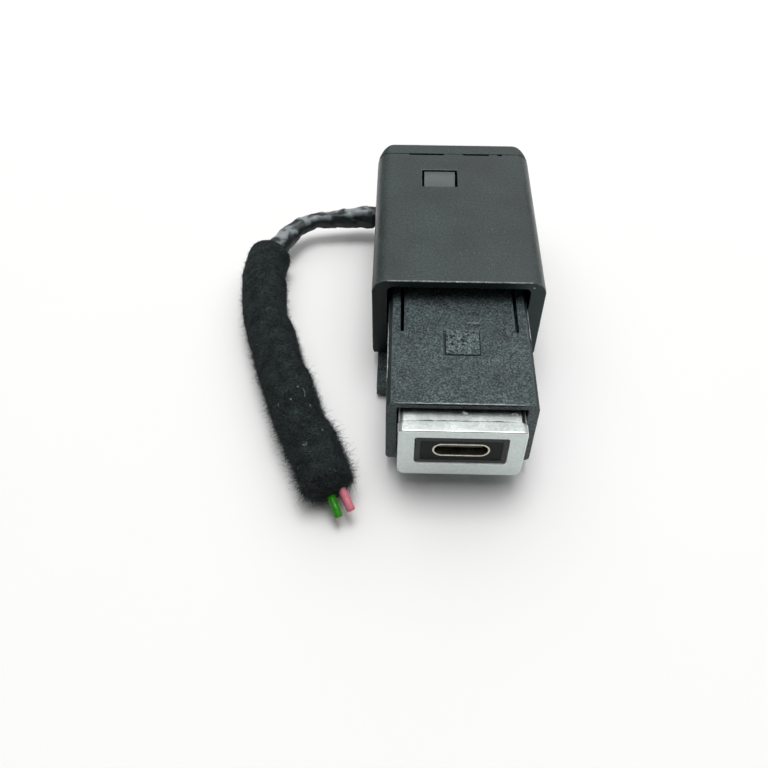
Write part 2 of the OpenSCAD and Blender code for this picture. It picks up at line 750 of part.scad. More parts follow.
// Ribs under the roof: the catch for the latch hook, and two stops for the plug
module roof_ribs() {
    z_rib = z_body_top + bay_gap;
    block([-hook_w / 2, y_hook - bay_gap - rib_t, z_rib], [hook_w / 2, y_hook - bay_gap, z_roof + eps]);
    for (s = [0, 1]) mirror([s, 0, 0])
        block([hook_w / 2 + stop_apart, y_plug - rib_t, z_rib], [bay_w / 2 + eps, y_plug, z_roof + eps]);
}

// Window in the roof that the plug's nub snaps into
module nub_window() {
    block([nub_x - nub_w / 2 - window_gap, y_nub, z_roof - eps],
        [nub_x + nub_w / 2 + window_gap, y_nub_end + window_gap, housing_h + eps]);
}

// Keyways for the coding rails, open at the rim, to the outside and below
module rail_keyways() {
    for (s = [0, 1]) mirror([s, 0, 0])
        block([x_rail - slide_gap, y_rim - eps, -eps],
            [housing_w / 2 + eps, y_rim + rail_in + bay_gap, z_rail_top + slide_gap]);
}

// Pry notches in the roof's rear edge
module seam_notches() {
    for (span = notch_spans)
        block([span[0], y_seam - notch_l, z_roof - eps], [span[1], y_seam + eps, housing_h + eps]);
}

module rear_housing() {
    color("#2a2c2c") {
        difference() {
            intersection() {
                housing_form();
                block([-housing_w, y_rim - eps, -eps], [housing_w, y_seam, housing_h + eps]);
            }
            along_y(y_rim - eps, y_seam + eps)
                round_rect(-bay_w / 2, bay_w / 2, housing_floor_t, z_roof, bay_r, bay_r);
            rail_keyways();
            nub_window();
            seam_notches();
            exit_bore();
        }
        roof_ribs();
    }
}

module rear_cap() {
    spigot_w = plug_w - 2 * spigot_t;
    color("#2a2c2c") difference() {
        union() {
            intersection() {
                housing_form();
                block([-housing_w, y_seam + seam_gap, -eps], [housing_w, y_back + eps, housing_h + eps]);
            }
            along_y(y_plug_end, y_seam + 2 * seam_gap)
                round_rect(-plug_w / 2, plug_w / 2, z_plug, z_plug_top, bay_r, bay_r);
        }
        block([-spigot_w / 2, y_plug_end - eps, z_plug + spigot_t],
            [spigot_w / 2, y_back - cap_back_t, z_plug_top - spigot_t]);
        exit_bore();
    }
}

// Snap nub: a ramp that rises to the back, with a flat crest
module snap_nub() {
    along_x(nub_x - nub_w / 2, nub_x + nub_w / 2)
        polygon([[y_nub, z_plug_top - arm_t / 2], [y_nub, z_plug_top], [y_nub_end - nub_crest_l, z_nub],
            [y_nub_end, z_nub], [y_nub_end, z_plug_top - arm_t / 2]]);
}

module harness_plug() {
    y_arm = y_plug + arm_root_l;
    arm_x0 = nub_x - nub_w / 2;
    arm_x1 = nub_x + nub_w / 2;
    z_relief = z_plug_top - arm_t - arm_relief;
    color("#34373a") difference() {
        union() {
            along_y(y_plug, y_plug_end)
                round_rect(-plug_w / 2, plug_w / 2, z_plug, z_plug_top, bay_r, bay_r);
            block([-nose_w / 2, y_nose, z_cavity + slide_gap],
                [nose_w / 2, y_plug + eps, z_cavity_top - slide_gap]);
            snap_nub();
        }
        block([arm_x0 - arm_gap, y_arm, z_relief], [arm_x0, y_plug_end + eps, housing_h]);
        block([arm_x1, y_arm, z_relief], [arm_x1 + arm_gap, y_plug_end + eps, housing_h]);
        block([arm_x0 - arm_gap, y_arm, z_relief], [arm_x1 + arm_gap, y_plug_end + eps, z_plug_top - arm_t]);
        for (s = [-1, 1]) translate([s * pin_pitch / 2, 0, z_pin]) {
            block([-passage_t / 2, y_terminal - slide_gap, -passage_t / 2],
                [passage_t / 2, y_plug_end + eps, passage_t / 2]);
            block([-pin_t / 2 - slide_gap, y_nose - eps, -pin_t / 2 - slide_gap],
                [pin_t / 2 + slide_gap, y_terminal + eps, pin_t / 2 + slide_gap]);
        }
        block([-lock_w / 2 - slide_gap, y_lock - slide_gap, z_plug - eps],
            [lock_w / 2 + slide_gap, y_lock + lock_t + slide_gap, z_pin + terminal_t / 2]);
    }
}

// Two terminals: a box that grips the pin, and a crimp barrel round the wire
module plug_terminals() {
    hollow_t = pin_t + 2 * slide_gap;
    color("#c6b98a")
        for (s = [-1, 1]) translate([s * pin_pitch / 2, 0, z_pin]) {
            difference() {
                block([-terminal_t / 2, y_terminal, -terminal_t / 2],
                    [terminal_t / 2, y_terminal_end, terminal_t / 2]);
                block([-hollow_t / 2, y_terminal - eps, -hollow_t / 2],
                    [hollow_t / 2, y_terminal_end - terminal_end_t, hollow_t / 2]);
            }
            translate([0, y_crimp_end, 0]) rotate([90, 0, 0]) difference() {
                cylinder(d = terminal_t, h = crimp_l);
                translate([0, 0, -eps]) cylinder(d = wire_d, h = crimp_l - terminal_end_t + eps);
            }
        }
}

// Comb that slides in from below and holds both terminals
module terminal_lock() {
    color("#8d4b2f") difference() {
        block([-lock_w / 2, y_lock, z_plug],
            [lock_w / 2, y_lock + lock_t, z_pin + terminal_t / 2 - slide_gap]);
        for (s = [-1, 1]) translate([s * pin_pitch / 2, 0, z_pin])
            block([-passage_t / 2, y_lock - eps, -passage_t / 2],
                [passage_t / 2, y_lock + lock_t + eps, passage_t]);
    }
}

module inner_green_wire() {
    color("#46aa28") tube(inner_green_route, wire_d);
}

module inner_pink_wire() {
    color("#e16e78") tube(inner_pink_route, wire_d);
}

module taped_lead() {
    color("#23282a") tube(lead_route, lead_d);
}

module fleece_sleeve() {
    color("#1c2020") tube(fleece_route, fleece_d, 12);
}

module green_tail() {
    color("#46aa28") tube(green_tail_route, wire_d);
}

module pink_tail() {
    color("#e16e78") tube(pink_tail_route, wire_d);
}

socket_body();
bezel();
port_insert();
receptacle_shell();
receptacle_base();
shield_plate();
upper_contacts();
lower_contacts();
circuit_board();
converter_chip();
port_controller();
power_inductor();
bulk_capacitors();
ceramic_capacitors();
chip_resistors();
header_block();
header_pins();
rear_housing();
rear_cap();
harness_plug();
plug_terminals();
terminal_lock();
inner_green_wire();
inner_pink_wire();
taped_lead();
fleece_sleeve();
green_tail();
pink_tail();
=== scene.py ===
import math

import bmesh
import bpy
import numpy as np
from bpy.props import FloatProperty, FloatVectorProperty, IntProperty, PointerProperty
from mathutils import Euler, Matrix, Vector, noise


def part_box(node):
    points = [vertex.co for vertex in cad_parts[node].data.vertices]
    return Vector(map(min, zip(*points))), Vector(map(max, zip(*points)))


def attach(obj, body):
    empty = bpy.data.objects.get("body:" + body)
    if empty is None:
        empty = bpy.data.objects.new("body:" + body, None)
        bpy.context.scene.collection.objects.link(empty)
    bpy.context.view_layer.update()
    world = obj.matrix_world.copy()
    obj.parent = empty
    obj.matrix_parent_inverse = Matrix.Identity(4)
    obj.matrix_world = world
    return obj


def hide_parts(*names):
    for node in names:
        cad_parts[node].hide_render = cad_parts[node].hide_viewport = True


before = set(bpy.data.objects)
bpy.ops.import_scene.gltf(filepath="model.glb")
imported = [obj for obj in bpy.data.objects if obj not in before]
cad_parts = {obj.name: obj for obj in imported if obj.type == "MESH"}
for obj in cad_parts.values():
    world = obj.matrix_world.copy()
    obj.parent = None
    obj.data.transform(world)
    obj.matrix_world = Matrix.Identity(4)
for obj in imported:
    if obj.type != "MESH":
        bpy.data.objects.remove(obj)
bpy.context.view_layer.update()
# The bezel's front face, from which places that were measured in the photograph are counted.
FACE_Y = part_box("bezel")[0].y

bl_info = {
    "name": "USB socket with wire connector",
    "version": (1, 0, 0),
    "blender": (4, 5, 0),
    "location": "View3D > Sidebar > USB socket",
    "description": "Dresses the packed USB socket, its wire connector and its cut-off lead",
    "category": "Object",
}

MM = 0.001
SEED = 41
# Distance between the rings of the lead and of its sleeve, and between points that count as one.
RING_STEP = 0.3 * MM
SAME_POINT = 0.0005 * MM
# Most values of a broad noise texture and of a fine one lie between these.
CLOUD_SPAN = {"From Min": 0.3, "From Max": 0.7}
GRAIN_SPAN = {"From Min": 0.35, "From Max": 0.65}
WHITE = (1, 1, 1, 1)
# Metal keeps the shader's own refraction.
METAL = {"Metallic": 1.0}
# Settings of some shader nodes, and the sockets of those that mix colours.
SOFT_RAMP = {"interpolation_type": "SMOOTHSTEP"}
PRODUCT = {"operation": "MULTIPLY"}
COLOUR_MIX = {"data_type": "RGBA"}
COLOUR_PRODUCT = {"data_type": "RGBA", "blend_type": "MULTIPLY"}
SHARE, FIRST, SECOND, MIXED = 0, 6, 7, 2


def linear(code):
    """Linear red, green and blue of an sRGB hex colour."""
    parts = [int(code[i:i + 2], 16) / 255 for i in (1, 3, 5)]
    return tuple(p / 12.92 if p <= 0.04045 else ((p + 0.055) / 1.055) ** 2.4 for p in parts)


def colour(name, description, code):
    """A colour that the user can change, from its sRGB hex value."""
    return FloatVectorProperty(name=name, description=description, default=linear(code), size=3,
                               min=0, max=1, subtype="COLOR")


def length(name, description, millimetres):
    """A size that the user can change, given in millimetres."""
    return FloatProperty(name=name, description=description, default=millimetres * MM, unit="LENGTH",
                         precision=5)


def angle(name, description, degrees):
    """A turn that the user can change, given in degrees."""
    return FloatProperty(name=name, description=description, default=math.radians(degrees), subtype="ANGLE",
                         unit="ROTATION")


def power(name, description, watts):
    """A lamp's power that the user can change."""
    return FloatProperty(name=name, description=description, default=watts, unit="POWER")


def level(name, description, value):
    """A brightness that the user can change."""
    return FloatProperty(name=name, description=description, default=value, min=0)


class StageSettings(bpy.types.PropertyGroup):
    """Floor, lamps, room and camera"""

    floor_width: length("Floor width", "Side of the square floor", 5000)
    floor_colour: colour("Floor", "Plain pale floor", "#f9f9f8")
    fade_from: length("Fade from", "Distance at which the floor starts to run into the white room", 130)
    fade_to: length("Fade to", "Distance at which the floor is as white as the room", 800)
    lamp_distance: length("Lamp distance", "From each lamp to the object", 2100)
    lamp_side: angle("Lamp side", "Turn of both lamps' lean to the right", 5)
    softbox_width: length("Softbox width", "Diameter of the wide softbox", 4400)
    softbox_lean: angle("Softbox lean", "Its lean back from the zenith", 29)
    softbox_power: power("Softbox power", "Power of the wide softbox", 62.5)
    ceiling_width: length("Ceiling lamp width", "Diameter of the small lamp above", 1100)
    ceiling_lean: angle("Ceiling lamp lean", "Its lean back from the zenith", 14)
    ceiling_power: power("Ceiling lamp power", "Power of the small lamp above", 18)
    sky: level("Sky", "Even light from the room", 0.08)
    walls: level("Walls", "How bright the room is at the horizon in mirrors", 0.35)
    ceiling: level("Ceiling", "How bright the room is overhead in mirrors", 1.08)
    front: level("Front", "Share of that brightness on the side of the camera", 0.3)
    left: level("Left", "Share of that brightness on the left", 0.45)
    right: level("Right", "Share of that brightness on the right", 1.05)
    camera_place: FloatVectorProperty(name="Camera", description="Where the camera stands", size=3,
                                      default=(-0.01007, FACE_Y - 0.0725, 0.112), subtype="TRANSLATION",
                                      unit="LENGTH")
    camera_tilt: angle("Tilt", "Camera's turn up from looking straight down", 40)
    camera_turn: angle("Turn", "Camera's turn to the left", 1.45)
    camera_lens: FloatProperty(name="Lens", description="Focal length in millimetres on a 36 mm sensor",
                               default=37.92)


class PlasticSettings(bpy.types.PropertyGroup):
    """Colours and edges of the mouldings"""

    body: colour("Socket body", "Glass-filled nylon", "#2f3d3f")
    crests: colour("Body's crests", "Crests of the socket body's grain", "#68797b")
    housing: colour("Wire housing", "Satin PBT", "#1f2c2b")
    insert: colour("Port insert", "Matt polycarbonate", "#171b1a")
    plug: colour("Harness plug", "PBT of the inner plug", "#3d4847")
    tongue: colour("Tongue", "Liquid crystal polymer of the port's tongue", "#4e4f4b")
    lock: colour("Terminal lock", "Brick-red PBT", "#8c4a2e")
    epoxy: colour("Chip epoxy", "Moulded epoxy of the chips", "#222224")
    # Scuffs also stand as painted highlight along edges, and the dark grease as painted shade under edges and
    # in creases.
    scuff: colour("Scuffs", "Plastic rubbed pale along edges", "#8f9494")
    grime: colour("Grime", "Grease and dust kept in corners", "#0c0e0f")
    dust: colour("Dust", "Pale dust and crumbs", "#dde2e1")
    body_edge: length("Body edge", "Rounding of the socket body's edges", 0.14)
    housing_edge: length("Housing edge", "Rounding of the wire housing's edges", 0.16)
    rim_round: length("Rim rounding", "Depth behind the rim over which its own rounding is rubbed", 0.22)
    insert_edge: length("Insert edge", "Rounding of the port insert's edges", 0.06)
    pad_height: length("Pad height", "Height of the thumb pad above its recess's floor", 0.38)
    pad_relief: length("Pad relief", "Height of the thumb pad's hammered grain", 0.44)


class MetalSettings(bpy.types.PropertyGroup):
    """Colours and edges of metal and ceramic pieces"""

    chrome: colour("Bezel chrome", "Satin chrome plating", "#d0d7d5")
    steel: colour("Shell steel", "Nickel-plated steel", "#dbd5c6")
    gold: colour("Contact gold", "Gold flash", "#b08d4a")
    tin: colour("Tin", "Tin plate of pins and terminals", "#cdc8bd")
    can: colour("Capacitor can", "Drawn aluminium", "#d9dadb")
    iron: colour("Inductor core", "Pressed iron powder", "#4a4a49")
    ceramic: colour("Ceramic", "Fired ceramic of the small capacitors", "#b8996c")
    mask: colour("Solder mask", "Green mask on glass epoxy", "#1f5a37")
    copper: colour("Copper", "Copper strands at the cut wire ends", "#d9926a")
    bezel_edge: length("Bezel edge", "Rounding of the bezel's edges", 0.2)
    shell_edge: length("Shell edge", "Rounding of the steel shell's mouth", 0.08)


class LeadSettings(bpy.types.PropertyGroup):
    """Sizes and colours of the lead, its fleece sleeve and the cut wires"""

    reach_out: length("Reach to the left", "How far the lead runs out to the side", 21.8)
    reach_forward: length("Reach forward", "How far the lead runs forward", 68.3)
    exit_height: length("Exit height", "Height of the lead's middle where it leaves the housing", 5.3)
    exit_ahead: length("Exit ahead of the seam", "The exit's axis lies this far ahead of the seam", 0.1)
    inside: length("Length inside", "How far the lead starts inside the housing's wall", 1.6)
    lead_d: length("Lead diameter", "Diameter of the taped lead", 3.0)
    swell: length("Swell", "How much lower the lead's underside is just outside the housing", 1.5)
    funnel: length("Funnel", "How much thicker the lead's radius is where it enters the sleeve", 0.55)
    short: length("Short end", "How far before the sleeve's end the lead is cut", 2.5)
    twist: length("Twist", "Length of one turn of the two wires under the tape", 8.8)
    tape_pitch: length("Tape pitch", "Distance between the tape's turns", 4.6)
    tape_step: length("Tape step", "Height of the tape's edge", 0.15)
    sleeve_d: length("Sleeve diameter", "Diameter of the fleece sleeve", 8.2)
    sleeve_lift: length("Sleeve lift", "Fuzz between the sleeve and the floor", 0.1)
    sleeve_skip: length("Sleeve start", "How far along its route the sleeve's tape starts", 2.7)
    sleeve_cut: length("Sleeve cut", "How far before its route's end the sleeve's tape is cut", 1.2)
    wrap_pitch: length("Wrap pitch", "Distance between the fleece tape's turns", 12.5)
    wrap_step: length("Wrap step", "Height of the fleece tape's edge", 0.8)
    fuzz_count: IntProperty(name="Fuzz fibres", description="Number of loose fibres on the sleeve",
                            default=24000)
    fuzz_length: length("Fuzz length", "Length of a common loose fibre", 0.8)
    fuzz_d: length("Fibre width", "Width of a loose fibre at its root", 0.055)
    wire_d: length("Wire diameter", "Diameter of a wire with its insulation", 1.4)
    tape: colour("Lead tape", "Black soft PVC tape", "#1d2324")
    # This pale colour is drawn only on the tape's upper side, as a painted sheen.
    film: colour("Stretched film", "The tape where it is stretched pale", "#90999b")
    fleece: colour("Fleece", "Black polyester fleece tape", "#1f2626")
    fibre: colour("Fibres", "Loose polyester fibres", "#2c3434")
    lint: colour("Lint", "Pale lint caught in the fleece", "#aeb4b4")
    green: colour("Green wire", "Green PVC insulation", "#238200")
    pink: colour("Pink wire", "Pink PVC insulation", "#d87a8a")


# The lead's route, as in the part's source: points in percent of the reach to the left and of the reach
# forward, counted from the exit, and what is left of the exit's height above the sleeve's middle.
LEAD_TURNS = ((13.6, 0.1, 90), (29.5, 0.6, 60), (45.4, 1.2, 35), (59.5, 1.9, 20), (72.2, 4, 10),
              (82.4, 7.6, 0), (89.6, 12, 0))
SLEEVE_TURNS = ((96.8, 16.4), (100, 25), (97.8, 34), (92.8, 42.3), (86, 50), (78, 57.5), (69.8, 64.8),
                (55.4, 77), (44.4, 84.8), (34.4, 91.5), (23.6, 100))
# The cut wires leave the sleeve's end under its middle: steps in percent of the sleeve's diameter.
GREEN_STEPS = ((-14, 40, -10), (-7, 20, -14), (0, -1.5, -16), (6, -15, -17), (13, -31, -23))
PINK_STEPS = ((2, 52, -8), (12, 30, -9), (23, 8, -11), (29, -6, -12), (37, -20, -17))


def add_node(tree, kind, settings=None, inputs=None):
    """Add one shader node, with its settings, and with a value or a link for each socket named.

    A node that is given as a value stands for its first output.
    """
    node = tree.nodes.new(f"ShaderNode{kind}")
    for name, value in (settings or {}).items():
        setattr(node, name, value)
    for key, value in (inputs or {}).items():
        if isinstance(value, bpy.types.Node):
            value = value.outputs[0]
        if isinstance(value, bpy.types.NodeSocket):
            tree.links.new(value, node.inputs[key])
        else:
            node.inputs[key].default_value = value
    return node


def new_material(name):
    """An empty node material and its tree."""
    material = bpy.data.materials.new(name)
    material.use_nodes = True
    material.node_tree.nodes.clear()
    return material, material.node_tree


def per_metre(millimetres):
    """Texture scale at which one cell of the pattern has that size."""
    return 1 / (millimetres * MM)


def rgba(values):
    """Colour socket value from red, green and blue."""
    return (*values, 1.0)


def shaded(values, factor):
    """The same colour, darker or lighter."""
    return tuple(min(1.0, v * factor) for v in values)


def finish(name, base, clouds, grain, rough, shader=None, speckle=0.1):
    """Surface with clouds in its colour and gloss, and a grain in its relief and colour.

    base is the colour. clouds are their size in millimetres and how much lighter and darker they are, grain
    its size and depth in millimetres, and speckle how much lighter and darker it is. rough has the two ends
    of the roughness, and shader holds values for the shader's own sockets.
    """
    cloud_size, cloud = clouds
    grain_size, depth = grain
    material, tree = new_material(name)
    place = add_node(tree, "TexCoord").outputs["Object"]
    broad = add_node(tree, "TexNoise", inputs={
        "Vector": place, "Scale": per_metre(cloud_size), "Detail": 3.0, "Roughness": 0.55})
    fine = add_node(tree, "TexNoise", inputs={
        "Vector": place, "Scale": per_metre(grain_size), "Detail": 2.0, "Roughness": 0.6})
    patches = add_node(tree, "MapRange", inputs={"Value": broad, **CLOUD_SPAN})
    tint = add_node(tree, "Mix", COLOUR_MIX, {
        SHARE: patches, FIRST: rgba(shaded(base, 1 - cloud)), SECOND: rgba(shaded(base, 1 + cloud))})
    specks = add_node(tree, "MapRange", inputs={
        "Value": fine, **GRAIN_SPAN, "To Min": 1 - speckle, "To Max": 1 + speckle})
    skin = add_node(tree, "Mix", COLOUR_PRODUCT, {SHARE: 1.0, FIRST: tint.outputs[MIXED], SECOND: specks})
    gloss = add_node(tree, "MapRange", inputs={
        "Value": broad, **CLOUD_SPAN, "To Min": rough[0], "To Max": rough[1]})
    relief = add_node(tree, "Bump", inputs={"Height": fine, "Distance": depth * MM, "Strength": 1.0})
    surface = add_node(tree, "BsdfPrincipled", inputs={
        "Base Color": skin.outputs[MIXED], "Roughness": gloss, "Normal": relief, **(shader or {})})
    add_node(tree, "OutputMaterial", inputs={"Surface": surface})
    return material


def add_piece(name, mesh, materials, stands_for=()):
    """Put a new mesh into the scene as a piece of the object."""
    piece = bpy.data.objects.new(name, mesh)
    bpy.context.scene.collection.objects.link(piece)
    for material in materials:
        mesh.materials.append(material)
    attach(piece, "root")
    if stands_for:
        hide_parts(*stands_for)
    return piece


def paint_nodes(material, *names):
    """Give CAD nodes their material."""
    for name in names:
        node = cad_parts[name]
        if not node.material_slots:
            node.data.materials.append(material)
        for place in node.material_slots:
            place.material = material


def edge_groups(edges):
    """Sets of edges that are joined at their ends."""
    left, groups = set(edges), []
    for first in sorted(edges, key=lambda e: e.index):
        if first not in left:
            continue
        left.remove(first)
        group, ends = [first], list(first.verts)
        while ends:
            for edge in ends.pop().link_edges:
                if edge in left:
                    left.remove(edge)
                    group.append(edge)
                    ends.extend(edge.verts)
        groups.append(group)
    return groups


def round_edges(node, name, edge, materials, segments=2, sort_faces=None, crumb=0.0):
    """A copy of a CAD node with rounded edges, which take the second material.

    sort_faces may choose another material for some of the other faces, and edges shorter than crumb
    are drawn together first. Edges that bend less than 28 degrees belong to curved faces and stay.
    """
    flat, sharp_from = math.radians(0.5), math.radians(28)
    shape = bmesh.new()
    shape.from_mesh(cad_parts[node].data)
    bmesh.ops.remove_doubles(shape, verts=shape.verts, dist=SAME_POINT)
    bmesh.ops.dissolve_limit(shape, angle_limit=flat, verts=shape.verts, edges=shape.edges)
    bmesh.ops.collapse(shape, edges=[e for e in shape.edges if e.calc_length() < crumb])
    for face in shape.faces:
        face.material_index = sort_faces(face) if sort_faces else 0
    # Edges beside a face that is too narrow for two roundings stay as they are.
    sharp = {e for e in shape.edges if len(e.link_faces) == 2
             and e.calc_face_angle() > sharp_from
             and all(f.calc_area() > 2 * edge * e.calc_length() for f in e.link_faces)}
    # Each set of joined edges is rounded by itself, so that a narrow place limits only its own set.
    for group in edge_groups(sharp):
        bmesh.ops.bevel(shape, geom=group, offset=edge, offset_type="OFFSET", segments=segments, profile=0.5,
                        affect="EDGES", clamp_overlap=True, material=1, loop_slide=True)
    bmesh.ops.dissolve_degenerate(shape, dist=SAME_POINT, edges=shape.edges)
    for face in shape.faces:
        face.smooth = True
    mesh = bpy.data.meshes.new(name)
    shape.to_mesh(mesh)
    shape.free()
    piece = add_piece(name, mesh, materials, [node])
    flats = piece.modifiers.new("Flat faces", "WEIGHTED_NORMAL")
    flats.keep_sharp = False
    flats.weight = 100


def smooth_route(points, spacing):
    """Even points on a smooth curve through the given ones, and each one's distance along it."""
    steps = 24
    points = np.asarray(points, float)
    knots = np.vstack([2 * points[0] - points[1], points, 2 * points[-1] - points[-2]])
    t = np.linspace(0, 1, steps, endpoint=False)[:, None]
    spans = [0.5 * (2 * b + (c - a) * t + (2 * a - 5 * b + 4 * c - d) * t ** 2
                    + (3 * b - a - 3 * c + d) * t ** 3)
             for a, b, c, d in zip(knots, knots[1:], knots[2:], knots[3:])]
    line = np.vstack([*spans, points[-1:]])
    run = np.concatenate([[0], np.cumsum(np.linalg.norm(np.diff(line, axis=0), axis=1))])
    along = np.linspace(0, run[-1], max(2, round(run[-1] / spacing) + 1))
    return np.stack([np.interp(along, run, line[:, k]) for k in range(3)], axis=1), along


def cross_axes(line):
    """Unit vectors ahead, to the right of that and up at each point of a route."""
    ahead = unit_rows(np.gradient(line, axis=0))
    side = unit_rows(np.cross(ahead, (0, 0, 1)))
    return ahead, side, np.cross(side, ahead)


def unit_rows(vectors):
    """The vectors' directions, each of length one."""
    return vectors / np.linalg.norm(vectors, axis=-1, keepdims=True)


def swept_points(line, radii):
    """Rings of points round a route; radii has one row for each point of it."""
    _, side, up = cross_axes(line)
    turn = np.linspace(0, 2 * np.pi, radii.shape[1], endpoint=False)
    out = np.cos(turn)[None, :, None] * side[:, None] + np.sin(turn)[None, :, None] * up[:, None]
    return line[:, None] + radii[..., None] * out


def ring_mesh(name, rings):
    """Mesh through rings of points, closed with a fan at each end."""
    count, sides = rings.shape[:2]
    number = np.arange(count * sides).reshape(count, sides)
    onward = np.roll(number, -1, axis=1)
    walls = np.stack([number[:-1], onward[:-1], onward[1:], number[1:]], axis=-1).reshape(-1, 4)
    hearts = np.full((2, sides), [[number.size], [number.size + 1]])
    fans = np.stack([[onward[0], number[-1]], [number[0], onward[-1]], hearts], axis=-1).reshape(-1, 3)
    points = np.vstack([rings.reshape(-1, 3), rings[0].mean(0), rings[-1].mean(0)])
    mesh = bpy.data.meshes.new(name)
    mesh.from_pydata(points.tolist(), [], [*walls.tolist(), *fans.tolist()], shade_flat=False)
    face_outward(mesh)
    return mesh


def face_outward(mesh):
    """Turn the faces of closed shapes outward."""
    shape = bmesh.new()
    shape.from_mesh(mesh)
    bmesh.ops.recalc_face_normals(shape, faces=shape.faces)
    shape.to_mesh(mesh)
    shape.free()


def lead_points():
    """Route points of the lead from inside the housing to the sleeve's start, and of the sleeve."""
    lead = bpy.context.scene.usb_lead
    exit_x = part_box("rear_housing")[0].x
    exit_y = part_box("rear_housing")[1].y - lead.exit_ahead
    low = lead.sleeve_d / 2 + lead.sleeve_lift
    drop = lead.exit_height - low

    def from_exit(out, forward, height):
        return exit_x - out / 100 * lead.reach_out, exit_y - forward / 100 * lead.reach_forward, height

    start = [(exit_x + lead.inside, exit_y, lead.exit_height), (exit_x, exit_y, lead.exit_height)]
    free = start + [from_exit(a, b, low + drop * c / 100) for a, b, c in LEAD_TURNS]
    sleeve = [free[-1]] + [from_exit(a, b, low) for a, b in SLEEVE_TURNS]
    return free, sleeve


def sawtooth(turns, soft):
    """1 just after each whole turn, falling to 0, with a soft rise over the last part of the turn."""
    part = turns - np.floor(turns)
    fall = 1 - part / (1 - soft)
    rise = (part - (1 - soft)) / soft
    return np.where(part < 1 - soft, fall, rise * rise * (3 - 2 * rise))


def ripple(points, size, depth):
    """Smooth random heights at points, with bumps about as large as size."""
    finer, share = 2.1, 0.5
    flat = points.reshape(-1, 3) / size
    values = [noise.noise(Vector(p)) + share * noise.noise(Vector(p) * finer) for p in flat]
    return depth * np.array(values).reshape(points.shape[:-1])


